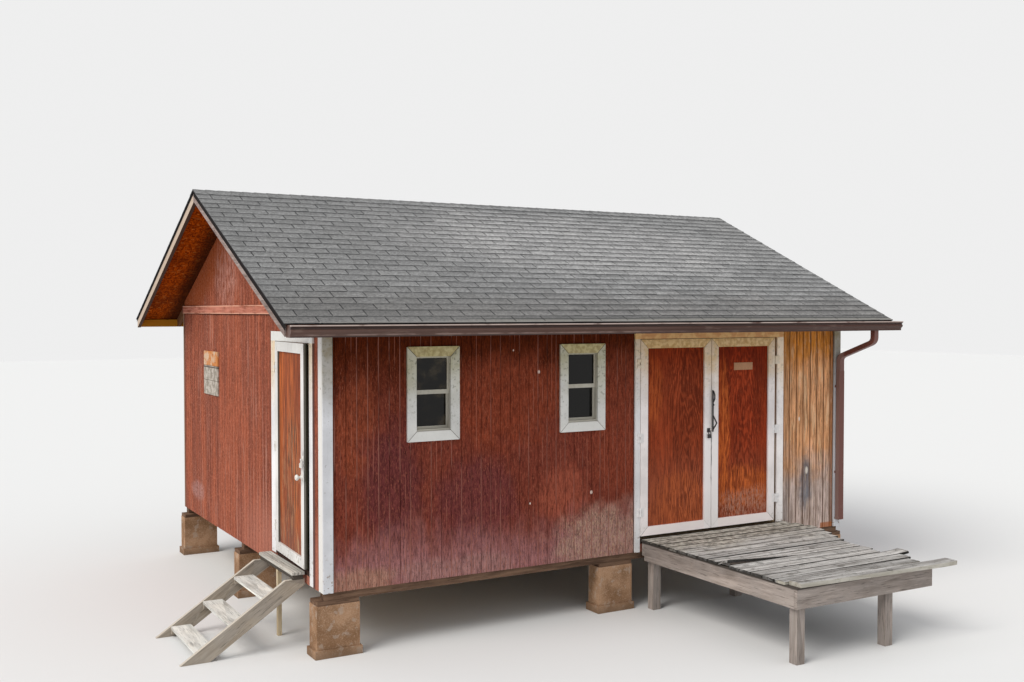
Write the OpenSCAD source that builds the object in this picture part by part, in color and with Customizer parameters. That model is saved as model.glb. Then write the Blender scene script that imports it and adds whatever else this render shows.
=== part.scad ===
// Timber boathouse on block piers: grooved plywood siding, a gable roof with
// open eaves, a double doorway at the front and a single door in the left gable.
// Millimetres, +Z up, +X along the front wall, the doors of the long wall face -Y.
// The origin is at ground level, under the middle of the building.

/* [Building] */
// Length of the long walls, outside the siding
building_l = 6096; // [5400:1:7300]
// Depth of the gable walls, outside the siding
building_d = 4877; // [4600:1:5200]
// Height of one siding sheet
sheet_h = 2438; // [2438:1:2440]
// Height of the bottom of the siding above the ground
siding_z = 560; // [400:1:900]

/* [Roof] */
// Rise of the roof for a run of twelve
roof_rise = 5.5; // [5.2:0.1:7]
// How far the shingles reach past the long walls
eave_overhang = 454; // [380:1:520]
// How far the roof reaches past the left gable
rake_left = 475; // [300:1:600]
// How far the roof reaches past the right gable
rake_right = 335; // [300:1:600]

/* [Lumber] */
// Thickness of framing lumber
two_by = 38; // [36:1:40]
// Width of a framing stud, and of a trim board
four_w = 89; // [85:1:90]
// Thickness of trim boards
one_by = 19; // [17:1:20]
// Thickness of the grooved plywood siding
siding_t = 16; // [12:1:18]

/* [Double doors] */
// Left edge of the double doorway, from the middle of the front wall
doors_x0 = 276; // [250:1:300]
// Width between the casings of the double doorway
doors_w = 1826; // [1820:1:1860]
// Width of the left leaf
left_leaf_w = 901; // [880:1:903]
// Width of the right leaf
right_leaf_w = 870; // [840:1:872]

/* [Side door] */
// Distance from the front corner to the side doorway
side_door_y0 = 274; // [260:1:320]
// Width between the casings of the side doorway
side_door_w = 937; // [930:1:980]
// Width of the side door's leaf
side_leaf_w = 920; // [900:1:920]
// How far the side door stands ajar, in degrees
side_ajar = 2.5; // [0:0.5:4]

/* [Windows] */
// Middle of the left window, from the middle of the front wall
window_1_x = -2003; // [-2100:1:-1900]
// Middle of the right window, from the middle of the front wall
window_2_x = -404; // [-450:1:-350]
// Width between the casings of a window
window_w = 340; // [320:1:350]
// Height between the casings of a window
window_h = 668; // [600:1:720]
// Height of the window opening above the bottom of the siding
window_sill_h = 1340; // [1250:1:1400]

/* [Landing and steps] */
// How far the landing reaches out from the front wall
landing_d = 2180; // [1600:1:2300]
// Height of the landing above the bottom of the siding
landing_h = 130; // [110:1:138]
// Slope of the step stringers, rise over run
step_slope = 0.67; // [0.6:0.01:0.75]

/* [Hidden] */

$fn = 32;

// Outside faces of the walls, and of the framing behind the siding
x_w = building_l / 2;
y_w = building_d / 2;
x_f = x_w - siding_t;
y_f = y_w - siding_t;

// Gap left where the ends of two boards meet
saw_gap = 1;

// Levels, from the ground up
pad_l = 430;
pad_w = 220;
pad_h = 72;
shim_l = 380;
shim_w = 184;
block_l = 390;
block_w = 190;
block_h = 190;
block_wall = 32;
shim_z = pad_h + 2 * block_h;
beam_z = siding_z - 70;
joist_z = beam_z + four_w;
deck_z = joist_z + four_w;
floor_z = deck_z + one_by;
plate_z = siding_z + sheet_h - 74;
plates_top = plate_z + 2 * two_by;

// Roof: the top planes meet at ridge_z, and thicknesses are measured plumb
pitch = roof_rise / 12;
eave_z = siding_z + 2315;
ridge_z = eave_z + pitch * (y_w + eave_overhang);
plumb = sqrt(1 + pitch * pitch);
shingle_p = 8 * plumb;
felt_p = 0.6;
osb_p = 11 * plumb;
deck_top_p = shingle_p + felt_p;
deck_low_p = deck_top_p + osb_p;
rafter_p = four_w * plumb;
shingle_edge = y_w + eave_overhang;
osb_edge = shingle_edge - 19;
fascia_y = shingle_edge - 29;
tail_y = fascia_y - one_by;
roof_x0 = -x_w - rake_left;
roof_x1 = x_w + rake_right;
barge_x0 = roof_x0 + 10;
barge_x1 = roof_x1 - 10;
ridge_half = two_by / 2;
ridge_board_h = 140;
ridge_cap_w = 130;

ridge_board_top = ridge_z - pitch * ridge_half - deck_low_p;
ridge_board_z = ridge_board_top - ridge_board_h;

// Doors
leaf_gap = 5;
leaf_z0 = siding_z + 158;
leaf_z1 = siding_z + 2129;
casing_z1 = leaf_z1 + leaf_gap + four_w;
stop_lap = 15;
header_z = leaf_z1 - stop_lap;
leaf_face = one_by + leaf_gap;
knuckle_r = 6.5;
knuckle_h = 30;
pin_r = 3.2;
hinge_plate_t = 2.5;
hinge_plate_w = 38;
hinge_zs = [leaf_z0 + 240, (leaf_z0 + leaf_z1) / 2, leaf_z1 - 240];
hinge_face = leaf_face + knuckle_r;
doors_x1 = doors_x0 + doors_w;
left_leaf_x0 = doors_x0 + leaf_gap;
left_leaf_x1 = left_leaf_x0 + left_leaf_w;
right_leaf_gap = 42;
right_leaf_x1 = doors_x1 - right_leaf_gap;
right_leaf_x0 = right_leaf_x1 - right_leaf_w;
left_hinge_x = doors_x0 + leaf_gap / 2;
right_hinge_x = right_leaf_x1 + 8;
right_hinge_reach = doors_x1 - right_hinge_x + 25;
side_y0 = -y_w + side_door_y0;
side_y1 = side_y0 + side_door_w;
side_leaf_y1 = side_y1 - 8;
side_leaf_y0 = side_leaf_y1 - side_leaf_w;
side_hinge_x = -x_w - hinge_face;
side_hinge_y = side_y1 - 4;

// Windows
window_xs = [window_1_x, window_2_x];
window_z0 = siding_z + window_sill_h;
window_z1 = window_z0 + window_h;
window_margin = 8;
window_rough = window_margin + saw_gap;
frame_y0 = 2;
frame_y1 = 78;
jamb_in = 3;
sill_h = 18;
sash_t = 18;
sash_stile = 15;
upper_rail = 12;
lower_rail = 22;
meeting_h = 38;
meeting_z = window_h / 2 - 5;
upper_sash_y = 26;
lower_sash_y = 48;
glass_t = 4;

// Gutter and downspout
gutter_w = 127;
gutter_h = 100;
gutter_t = 1.5;
gutter_z0 = eave_z - 113;
gutter_x0 = -x_w - 450;
gutter_x1 = x_w + 394;
gutter_bottom_w = 97;
gutter_lip = 12;
gutter_hem = 5;
pipe_w = 76;
pipe_d = 51;
pipe_t = 1.5;
pipe_x = x_w - 36;
pipe_y = -y_w - 51;
outlet_x = x_w + 41;
outlet_y = -fascia_y - 42;
outlet_lap = 4;

// Landing and steps
landing_x0 = 302;
landing_x1 = 1960;
landing_overhang = 12;
landing_z = siding_z + landing_h;
landing_board_t = 25;
landing_board_w = 140;
landing_pitch = 145;
landing_y = -y_w - 21;
landing_rows = floor(landing_d / landing_pitch);
landing_joist_step = 530;
landing_joist_h = 140;
landing_skirt_h = 184;
landing_front_y = landing_y - landing_rows * landing_pitch + 20;
tread_t = 25;
step_x = -x_w - 22;
step_y0 = -y_w + 400;
step_y1 = -y_w + 1360;
step_top = siding_z + 115;
strip_w = 55;
strip_pitch = 60;
step_nose = 116;
stringer_d = 140;
tread_d = 180;
tread_rise = 195;
tread_run = tread_rise / step_slope;
tread_lead = 100;
ledge_h = 40;

// A box between two corners
module slab(a, b) {
    translate(a) cube(b - a);
}

// Height of the shingle surface over a place y
function roof_z(y) = ridge_z - pitch * abs(y);

// A profile of y and z points, swept along X from x0 to x1
module along_x(x0, x1) {
    translate([x0, 0, 0])
        rotate([90, 0, 90])
            linear_extrude(x1 - x0) children();
}

// A profile of x and z points, swept along Y from y0 to y1
module along_y(y0, y1) {
    translate([0, y1, 0])
        rotate([90, 0, 0])
            linear_extrude(y1 - y0) children();
}

module mirror_y() {
    mirror([0, 1, 0]) children();
}

// Piers

pier_xs = [-x_w + 145, 0, x_w - 145];
pier_ys = [-y_w + 102, 0, y_w - 102];

module at_piers() {
    for (x = pier_xs, y = pier_ys)
        translate([x, y, 0]) children();
}

module block() {
    cell_l = (block_l - 3 * block_wall) / 2;
    cell_w = block_w - 2 * block_wall;
    difference() {
        slab([-block_l / 2, -block_w / 2, 0], [block_l / 2, block_w / 2, block_h]);
        for (side = [-1, 1])
            translate([side * (cell_l + block_wall) / 2, 0, block_h / 2])
                cube([cell_l, cell_w, block_h + 2], center = true);
    }
}

module pier_pads() {
    color([0.62, 0.57, 0.50])
        at_piers() slab([-pad_l / 2, -pad_w / 2, 0], [pad_l / 2, pad_w / 2, pad_h]);
}

module pier_lower_blocks() {
    color([0.66, 0.58, 0.50])
        at_piers() translate([0, 0, pad_h]) block();
}

module pier_upper_blocks() {
    color([0.68, 0.60, 0.53])
        at_piers() translate([0, 0, pad_h + block_h]) block();
}

module pier_shims() {
    color([0.42, 0.33, 0.24])
        at_piers() slab([-shim_l / 2, -shim_w / 2, shim_z], [shim_l / 2, shim_w / 2, beam_z]);
}

// Floor

module floor_beams() {
    color([0.30, 0.22, 0.16])
        for (y = [-y_f, -four_w / 2, y_f - four_w])
            slab([-x_f, y, beam_z], [x_f, y + four_w, joist_z]);
}

module floor_joists() {
    joist_count = 16;
    joist_step = (2 * x_f - two_by) / (joist_count - 1);
    color([0.45, 0.33, 0.22])
        for (i = [0:joist_count - 1])
            translate([-x_f + i * joist_step, 0, 0])
                slab([0, two_by - y_f, joist_z], [two_by, y_f - two_by, deck_z]);
}

module floor_rims() {
    color([0.45, 0.33, 0.22])
        for (y = [-y_f, y_f - two_by])
            slab([-x_f, y, joist_z], [x_f, y + two_by, deck_z]);
}

module floor_deck() {
    color([0.55, 0.42, 0.28])
        slab([-x_f, -y_f, deck_z], [x_f, y_f, floor_z]);
}

// Siding

siding_top = siding_z + sheet_h;
eave_siding_top = floor(roof_z(y_w) - deck_low_p - rafter_p) - 4;

module siding_front_left() {
    color([0.40, 0.13, 0.10])
        difference() {
            slab([-x_w, -y_w, siding_z], [doors_x0, -y_f, eave_siding_top]);
            for (x = window_xs)
                slab([x - window_stud, -y_w - 1, window_z0 - window_rough],
                     [x + window_stud, -y_f + 1, window_z1 + window_rough]);
        }
}

module siding_front_right() {
    color([0.66, 0.45, 0.26])
        slab([doors_x1, -y_w, siding_z], [x_w, -y_f, eave_siding_top]);
}

module siding_at_doors() {
    color([0.44, 0.15, 0.11]) {
        slab([doors_x0, -y_w, leaf_z1 + leaf_gap], [doors_x1, -y_f, eave_siding_top]);
        slab([doors_x0, -y_w, siding_z], [doors_x1, -y_f, floor_z]);
        slab([-x_w, side_y0, leaf_z1 + leaf_gap], [-x_f, side_y1, siding_top]);
        slab([-x_w, side_y0, siding_z], [-x_f, side_y1, floor_z]);
    }
}

module siding_left() {
    color([0.55, 0.20, 0.14]) {
        slab([-x_w, -y_f, siding_z], [-x_f, side_y0, siding_top]);
        slab([-x_w, side_y1, siding_z], [-x_f, y_f, siding_top]);
    }
}

module siding_right() {
    color([0.50, 0.18, 0.13])
        slab([x_f, -y_f, siding_z], [x_w, y_f, siding_top]);
}

module siding_back() {
    color([0.45, 0.16, 0.12])
        slab([-x_w, y_f, siding_z], [x_w, y_w, eave_siding_top]);
}

module gable_siding() {
    under = deck_low_p + 0.5;
    color([0.55, 0.20, 0.14])
        for (x = [-x_w, x_f])
            along_x(x, x + siding_t)
                polygon([[-y_f, siding_top], [y_f, siding_top],
                         [y_f, roof_z(y_f) - under],
                         [ridge_half, roof_z(ridge_half) - under],
                         [ridge_half, ridge_board_z], [-ridge_half, ridge_board_z],
                         [-ridge_half, roof_z(ridge_half) - under],
                         [-y_f, roof_z(y_f) - under]]);
}

// Wall framing

y_in = y_f - four_w;
jack_x = doors_x0 + 20 - two_by;
far_jack_x = doors_x1 - 20;
side_jack_0 = side_y0 + 12 - two_by;
side_jack_1 = side_y1 - 12;
window_stud = window_w / 2 + window_rough;
bay_studs = [-2619, -1419, -1010];
front_studs = concat([-x_f], bay_studs,
    [for (x = window_xs, end = [-window_stud - two_by, window_stud]) x + end],
    [jack_x - two_by - saw_gap, far_jack_x + two_by + saw_gap, (far_jack_x + x_f) / 2,
     x_f - two_by]);

// Plates that lie round the walls, two_by high from height z
module long_plate(x0, x1, y, z, h = two_by) {
    slab([x0, y, z], [x1, y + four_w, z + h]);
}

module short_plate(x, y0, y1, z, h = two_by) {
    slab([x, y0, z], [x + four_w, y1, z + h]);
}

module sole_plates() {
    y_end = y_in - saw_gap;
    color([0.70, 0.55, 0.36]) {
        long_plate(-x_f, jack_x + two_by, -y_f, floor_z);
        long_plate(far_jack_x, x_f, -y_f, floor_z);
        long_plate(-x_f, x_f, y_in, floor_z);
        short_plate(-x_f, -y_end, side_jack_0 + two_by, floor_z);
        short_plate(-x_f, side_jack_1, y_end, floor_z);
        short_plate(x_f - four_w, -y_end, y_end, floor_z);
    }
}

module top_plates() {
    y_end = y_in - saw_gap;
    h = 2 * two_by;
    color([0.70, 0.55, 0.36]) {
        for (y = [-y_f, y_in]) long_plate(-x_f, x_f, y, plate_z, h);
        for (x = [-x_f, x_f - four_w]) short_plate(x, -y_end, y_end, plate_z, h);
    }
}

// A stud of a long wall, and one of a gable wall
module long_stud(x, y = -y_f, z1 = plate_z) {
    slab([x, y, floor_z + two_by], [x + two_by, y + four_w, z1]);
}

module gable_stud(x, y, z1 = plate_z) {
    slab([x, y, floor_z + two_by], [x + four_w, y + two_by, z1]);
}

// Equal spacing of studs between two places
module in_bays(from, to, bays) {
    for (i = [0:bays]) translate([0, from + i * (to - from) / bays, 0]) children();
}

module wall_studs() {
    y_end = y_in - saw_gap;
    rear_y = side_jack_1 + two_by + saw_gap;
    color([0.70, 0.55, 0.36]) {
        for (x = front_studs) long_stud(x);
        for (x = [jack_x, far_jack_x]) long_stud(x, z1 = header_z);
        for (i = [0:10]) long_stud(-x_f + i * (2 * x_f - two_by) / 10, y_in);
        gable_stud(-x_f, -y_end);
        gable_stud(-x_f, side_jack_0 - two_by - saw_gap);
        for (y = [side_jack_0, side_jack_1]) gable_stud(-x_f, y, header_z);
        in_bays(rear_y, y_end - two_by, 6) gable_stud(-x_f, 0);
        in_bays(-y_end, y_end - two_by, 8) gable_stud(x_f - four_w, 0);
    }
}

module headers_and_sills() {
    header_h = plate_z - header_z;
    color([0.68, 0.53, 0.35]) {
        long_plate(jack_x, far_jack_x + two_by, -y_f, header_z, header_h);
        short_plate(-x_f, side_jack_0, side_jack_1 + two_by, header_z, header_h);
        for (x = window_xs, z = [window_z0 - window_rough - two_by, window_z1 + window_rough])
            long_plate(x - window_stud, x + window_stud, -y_f, z);
    }
}

// Roof

module rafter_outline() {
    cover = deck_low_p;
    seat_in = (ridge_z - cover - rafter_p - plates_top) / pitch;
    polygon([[-tail_y, roof_z(tail_y) - cover],
             [-ridge_half, roof_z(ridge_half) - cover],
             [-ridge_half, roof_z(ridge_half) - cover - rafter_p],
             [-seat_in, plates_top],
             [-y_f, plates_top],
             [-y_f, roof_z(y_f) - cover - rafter_p],
             [-tail_y, roof_z(tail_y) - cover - rafter_p]]);
}

module front_rafters() {
    pairs = 11;
    step = (2 * x_f - two_by) / (pairs - 1);
    for (i = [0:pairs - 1])
        along_x(-x_f + i * step, -x_f + i * step + two_by) rafter_outline();
}

module rafters() {
    color([0.42, 0.29, 0.18]) {
        front_rafters();
        mirror_y() front_rafters();
    }
}

module ridge_board() {
    color([0.42, 0.29, 0.18])
        slab([barge_x0 + two_by, -ridge_half, ridge_board_z],
             [barge_x1 - two_by, ridge_half, ridge_board_top]);
}

// One sloping layer of the front roof, from the eave edge up to a place near the ridge,
// between two plumb depths
module front_layer(x0, x1, edge, top, bottom, ridge_y = 0) {
    along_x(x0, x1)
        polygon([[-edge, roof_z(edge) - bottom], [-ridge_y, roof_z(ridge_y) - bottom],
                 [-ridge_y, roof_z(ridge_y) - top], [-edge, roof_z(edge) - top]]);
}

module roof_deck_front() {
    color([0.48, 0.28, 0.13])
        front_layer(barge_x0, barge_x1, osb_edge, deck_top_p, deck_low_p);
}

module roof_deck_back() {
    color([0.48, 0.28, 0.13])
        mirror_y() front_layer(barge_x0, barge_x1, osb_edge, deck_top_p, deck_low_p);
}

module shingles_front() {
    color([0.26, 0.27, 0.28]) front_layer(roof_x0, roof_x1, shingle_edge, 0, shingle_p);
}

module shingles_back() {
    color([0.26, 0.27, 0.28])
        mirror_y() front_layer(roof_x0, roof_x1, shingle_edge, 0, shingle_p);
}

module ridge_shingles() {
    cap = 6 * plumb;
    edge_z = roof_z(ridge_cap_w);
    color([0.28, 0.29, 0.30])
        along_x(roof_x0, roof_x1)
            polygon([[-ridge_cap_w, edge_z], [0, ridge_z], [ridge_cap_w, edge_z],
                     [ridge_cap_w, edge_z + cap], [0, ridge_z + cap],
                     [-ridge_cap_w, edge_z + cap]]);
}

module fascia_boards() {
    top = floor(roof_z(fascia_y) - deck_low_p);
    color([0.24, 0.17, 0.13])
        for (y = [-fascia_y, tail_y])
            slab([barge_x0 + two_by, y, top - four_w], [barge_x1 - two_by, y + one_by, top]);
}

module front_barges() {
    for (x = [barge_x0, barge_x1 - two_by])
        front_layer(x, x + two_by, fascia_y, deck_low_p, deck_low_p + rafter_p, saw_gap);
}

module barge_boards() {
    color([0.50, 0.40, 0.31]) {
        front_barges();
        mirror_y() front_barges();
    }
}

// Outside trim

band_z = siding_z + 2384;

module corner_boards() {
    top = eave_siding_top - 8;
    color([0.86, 0.85, 0.82])
        for (sx = [0, 1], sy = [0, 1])
            mirror([sx, 0, 0]) mirror([0, sy, 0])
                slab([-x_w, -y_w - one_by, siding_z], [-x_w + four_w, -y_w, top]);
}

module gable_bands() {
    color([0.56, 0.20, 0.14])
        for (x = [-x_w - one_by, x_w])
            slab([x, -y_w, band_z], [x + one_by, y_w, band_z + four_w]);
}

// Gutter: one bent sheet, in four pieces that meet along its folds

// The moulded face: an upright foot, a belly, a neck, and a shoulder under the upright lip
gutter_foot = [-gutter_bottom_w, 18];
gutter_belly = [-gutter_bottom_w - 24, 52];
gutter_neck = [-gutter_bottom_w - 12, 72];
gutter_shoulder = [-gutter_w, 92];

// A smooth swing between two places of the face, without its first point
function swing(a, b) =
    [for (t = [0.2:0.2:1]) [a[0] + (b[0] - a[0]) * (1 - cos(180 * t)) / 2, a[1] + (b[1] - a[1]) * t]];

gutter_face = concat([[-gutter_bottom_w, 0], gutter_foot], swing(gutter_foot, gutter_belly),
    swing(gutter_belly, gutter_neck), swing(gutter_neck, gutter_shoulder));

function inner_face(points) =
    [for (i = [len(points) - 1:-1:0]) [points[i][0] + gutter_t, points[i][1]]];

module at_gutter() {
    translate([0, -fascia_y, gutter_z0]) children();
}

module gutter_back() {
    color([0.25, 0.17, 0.14])
        at_gutter()
            slab([gutter_x0 + gutter_t, -gutter_t, 0], [gutter_x1 - gutter_t, 0, gutter_h]);
}

module gutter_floor() {
    color([0.25, 0.17, 0.14])
        at_gutter()
            difference() {
                slab([gutter_x0 + gutter_t, gutter_t - gutter_bottom_w, 0],
                     [gutter_x1 - gutter_t, -gutter_t, gutter_t]);
                translate([outlet_x, outlet_y + fascia_y, 0])
                    cube([pipe_w - 2 * outlet_lap, pipe_d - 2 * outlet_lap, 3 * gutter_t], center = true);
            }
}

module gutter_front() {
    lip_y = gutter_lip - gutter_w;
    color([0.25, 0.17, 0.14])
        at_gutter()
            along_x(gutter_x0 + gutter_t, gutter_x1 - gutter_t)
                polygon(concat(gutter_face,
                    [[-gutter_w, gutter_h], [lip_y, gutter_h], [lip_y, gutter_h - gutter_hem],
                     [lip_y - gutter_t, gutter_h - gutter_hem],
                     [lip_y - gutter_t, gutter_h - gutter_t],
                     [gutter_t - gutter_w, gutter_h - gutter_t]],
                    inner_face(gutter_face)));
}

module gutter_ends() {
    color([0.25, 0.17, 0.14])
        at_gutter()
            for (x = [gutter_x0, gutter_x1 - gutter_t])
                along_x(x, x + gutter_t)
                    polygon(concat(gutter_face, [[-gutter_w, gutter_h], [0, gutter_h], [0, 0]]));
}

// The bent run from the gutter to the wall, drawn in its own upright plane
elbow_run = sqrt(pow(pipe_y - outlet_y, 2) + pow(outlet_x - pipe_x, 2));
elbow_turn = atan2(outlet_x - pipe_x, pipe_y - outlet_y);
elbow_top = siding_z + 2080;
elbow_low = siding_z + 1905;
band_low = siding_z + 1745;
strap_zs = [siding_z + 600, siding_z + 1560];

// Both bends turn by the same angle round centres elbow_r off the pipe's middle line
elbow_r = 70;
elbow_angle = atan2(elbow_run, elbow_top - elbow_low);
elbow_cut = elbow_r * tan(elbow_angle / 2);
elbow_steps = 5;

function bend(centre, r, from, to) =
    [for (i = [0:elbow_steps])
        let (a = from + (to - from) * i / elbow_steps)
            centre + r * [cos(a), sin(a)]];

// Outline of the bent run, with its sides g off the pipe's middle line
module elbow_outline(g, z_top, z_low) {
    first = [elbow_r, elbow_top + elbow_cut];
    second = [elbow_run - elbow_r, elbow_low - elbow_cut];
    polygon(concat([[g, z_top], [-g, z_top]],
        bend(first, elbow_r + g, 180, 180 + elbow_angle),
        bend(second, elbow_r - g, elbow_angle, 0),
        [[elbow_run - g, z_low], [elbow_run + g, z_low]],
        bend(second, elbow_r + g, 0, elbow_angle),
        bend(first, elbow_r - g, 180 + elbow_angle, 180)));
}

module elbow_run_solid(w, g, z_top, z_low) {
    translate([outlet_x, outlet_y, 0])
        rotate([0, 0, 90 + elbow_turn])
            along_y(-w / 2, w / 2) elbow_outline(g, z_top, z_low);
}

module downspout() {
    pipe_low = siding_z + 80;
    color([0.26, 0.18, 0.15])
        difference() {
            union() {
                elbow_run_solid(pipe_w, pipe_d / 2, gutter_z0 - 0.2, band_low);
                slab([pipe_x - pipe_w / 2, pipe_y - pipe_d / 2, pipe_low],
                     [pipe_x + pipe_w / 2, pipe_y + pipe_d / 2, band_low + 1]);
                for (z = strap_zs)
                    slab([pipe_x - pipe_w / 2 - 12, pipe_y + pipe_d / 2 - pipe_t, z],
                         [pipe_x + pipe_w / 2 + 12, -y_w - one_by, z + 25]);
            }
            elbow_run_solid(pipe_w - 2 * pipe_t, pipe_d / 2 - pipe_t, gutter_z0 + 1, band_low - 1);
            slab([pipe_x - pipe_w / 2 + pipe_t, pipe_y - pipe_d / 2 + pipe_t, pipe_low - 1],
                 [pipe_x + pipe_w / 2 - pipe_t, pipe_y + pipe_d / 2 - pipe_t, band_low + 2]);
        }
}

// Mitred frames: four boards round an opening w by h, drawn on the XZ plane

mitre_gap = 1;

module mitred_board(length, board_w) {
    polygon([[mitre_gap, 0], [length - mitre_gap, 0],
             [length - board_w - mitre_gap, board_w], [board_w + mitre_gap, board_w]]);
}

// Boards stand board_t deep from y = 0 towards +Y, the frame's outer corner at the origin
module mitred_frame(outer_w, outer_h, board_w, board_t) {
    along_y(0, board_t) {
        mitred_board(outer_w, board_w);
        translate([outer_w, outer_h]) rotate(180) mitred_board(outer_w, board_w);
        translate([outer_w, 0]) rotate(90) mitred_board(outer_h, board_w);
        translate([0, outer_h]) rotate(-90) mitred_board(outer_h, board_w);
    }
}

// Windows

module at_windows() {
    for (x = window_xs)
        translate([x - window_w / 2, -y_w, window_z0]) children();
}

module window_casings() {
    color([0.88, 0.87, 0.84])
        at_windows()
            translate([-four_w, -one_by, -four_w])
                mitred_frame(window_w + 2 * four_w, window_h + 2 * four_w, four_w, one_by);
}

// A frame w by h whose sides, bottom and top are bars of their own widths
module ring(w, h, side, low, top, y0, y1) {
    difference() {
        slab([0, y0, 0], [w, y1, h]);
        slab([side, y0 - 1, low], [w - side, y1 + 1, h - top]);
    }
}

module window_frames() {
    jamb = window_margin + jamb_in;
    color([0.84, 0.83, 0.80])
        at_windows()
            translate([-window_margin, 0, -window_margin])
                ring(window_w + 2 * window_margin, window_h + 2 * window_margin, jamb,
                     window_margin + sill_h, jamb, frame_y0, frame_y1);
}

sash_w = window_w - 2 * jamb_in;
upper_sash_h = window_h - jamb_in - meeting_z;
lower_sash_h = meeting_z + meeting_h - sill_h;

module window_sashes() {
    color([0.82, 0.82, 0.80])
        at_windows() {
            translate([jamb_in, upper_sash_y, meeting_z])
                ring(sash_w, upper_sash_h, sash_stile, meeting_h, upper_rail, 0, sash_t);
            translate([jamb_in, lower_sash_y, sill_h])
                ring(sash_w, lower_sash_h, sash_stile, lower_rail, meeting_h, 0, sash_t);
        }
}

module pane(h) {
    translate([jamb_in + sash_stile, (sash_t - glass_t) / 2, 0])
        cube([sash_w - 2 * sash_stile, glass_t, h]);
}

module window_glass() {
    color([0.16, 0.18, 0.19, 0.5])
        at_windows() {
            translate([0, upper_sash_y, meeting_z + meeting_h])
                pane(upper_sash_h - meeting_h - upper_rail);
            translate([0, lower_sash_y, sill_h + lower_rail])
                pane(lower_sash_h - meeting_h - lower_rail);
        }
}

// Casings round the doorways

left_casing_w = 60;
side_far_casing_w = 125;

module door_side_casings() {
    color([0.88, 0.87, 0.83]) {
        slab([doors_x0 - left_casing_w, -y_w - one_by, siding_z],
             [doors_x0, -y_w, casing_z1 - four_w]);
        slab([doors_x1, -y_w - one_by, landing_z + 4],
             [doors_x1 + four_w, -y_w, casing_z1 - four_w]);
        slab([-x_w - one_by, side_y0 - four_w, siding_z + 15],
             [-x_w, side_y0, casing_z1 - four_w]);
        slab([-x_w - one_by, side_y1, step_top + 12],
             [-x_w, side_y1 + side_far_casing_w, casing_z1 - four_w]);
    }
}

module door_head_casings() {
    color([0.86, 0.84, 0.78]) {
        slab([doors_x0 - left_casing_w, -y_w - one_by, casing_z1 - four_w],
             [doors_x1 + four_w, -y_w, casing_z1]);
        slab([-x_w - one_by, side_y0 - four_w, casing_z1 - four_w],
             [-x_w, side_y1 + side_far_casing_w, casing_z1]);
    }
}

// Steps to the side door

stringer_lap = step_top - tread_t;

// A flat cleat lies across the stringers and carries the two top strips
cleat_z = stringer_lap - two_by;
stringer_top = cleat_z - saw_gap;
cleat_out = 104;

function tread_x(i) = step_x + tread_lead - i * tread_run;

module stringer_outline() {
    drop = stringer_d * sqrt(1 + step_slope * step_slope);
    edge_x = step_x - step_nose;
    foot_x = edge_x - stringer_lap / step_slope;
    top_x = edge_x - (stringer_lap - stringer_top) / step_slope;
    heel_z = stringer_lap + step_nose * step_slope - drop;
    polygon([[step_x, stringer_top], [top_x, stringer_top], [foot_x, 0],
             [foot_x + drop / step_slope, 0], [step_x, heel_z]]);
}

// Level ledges under the ends of the lower treads
module tread_ledges(y0, y1) {
    for (i = [1:3])
        translate([tread_x(i), 0, step_top - i * tread_rise])
            slab([-tread_d, y0, -tread_t - ledge_h], [0, y1, -tread_t]);
}

module step_stringers() {
    color([0.58, 0.54, 0.46]) {
        along_y(step_y0, step_y0 + two_by) stringer_outline();
        along_y(step_y1 - two_by, step_y1) stringer_outline();
        tread_ledges(step_y0 + two_by, step_y0 + 2 * two_by);
        tread_ledges(step_y1 - 2 * two_by, step_y1 - two_by);
        slab([step_x - cleat_out, step_y0, cleat_z],
             [step_x - cleat_out + four_w, step_y1, stringer_lap]);
    }
}

module step_treads() {
    strip_lap = 6;
    color([0.60, 0.57, 0.50]) {
        for (i = [0, 1])
            translate([step_x - saw_gap - i * strip_pitch, 0, 0])
                slab([-strip_w, step_y0 - strip_lap, stringer_lap],
                     [0, step_y1 + strip_lap, step_top]);
        for (i = [1:3])
            translate([tread_x(i), 0, step_top - i * tread_rise])
                slab([-tread_d, step_y0 + two_by + saw_gap, -tread_t],
                     [0, step_y1 - two_by - saw_gap, 0]);
    }
}

module step_post() {
    post_y = -y_w + 850;
    color([0.75, 0.66, 0.48])
        slab([step_x - 100, post_y, 0], [step_x - 100 + two_by, post_y + two_by, cleat_z]);
}

// Landing at the double doors

// Where the boards' right ends lie, from the wall outwards
landing_ends = [2190, 2240, 2290, 2250, 2200, 2130, 2060, 1990, 1975, 1985, 1930, 2150, 2010,
    1930, 2180];
landing_joist_xs = [landing_x0, landing_x0 + landing_joist_step,
    landing_x0 + 2 * landing_joist_step, landing_x1 - two_by];

// One board of a row, from x0 to x1, turned about its left back corner
module landing_board(row, x0, x1, t, turn) {
    translate([x0, landing_y - row * landing_pitch, landing_z - landing_board_t])
        rotate([0, 0, turn])
            slab([0, -landing_board_w, 0], [x1 - x0, 0, t]);
}

module landing_boards() {
    last = landing_rows - 1;
    start = landing_x0 - landing_overhang;
    color([0.50, 0.48, 0.44]) {
        for (i = [0:last - 2]) landing_board(i, start, landing_ends[i], landing_board_t, 0);
        landing_board(last - 1, start, landing_ends[last - 1], landing_board_t, -1);
        landing_board(last, start + 40, landing_ends[last], two_by, -2.8);
    }
}

module landing_frame() {
    top = landing_z - landing_board_t;
    joist_y0 = landing_front_y + two_by + saw_gap;
    joist_y1 = landing_y - two_by - saw_gap;
    color([0.56, 0.48, 0.38]) {
        for (x = landing_joist_xs)
            slab([x, joist_y0, top - (x == landing_x0 ? landing_skirt_h : landing_joist_h)],
                 [x + two_by, joist_y1, top]);
        slab([landing_x0, landing_y - two_by, top - landing_joist_h],
             [landing_x1, landing_y, top]);
        slab([landing_x0, landing_front_y, top - landing_skirt_h],
             [landing_x1, landing_front_y + two_by, top]);
    }
}

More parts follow.
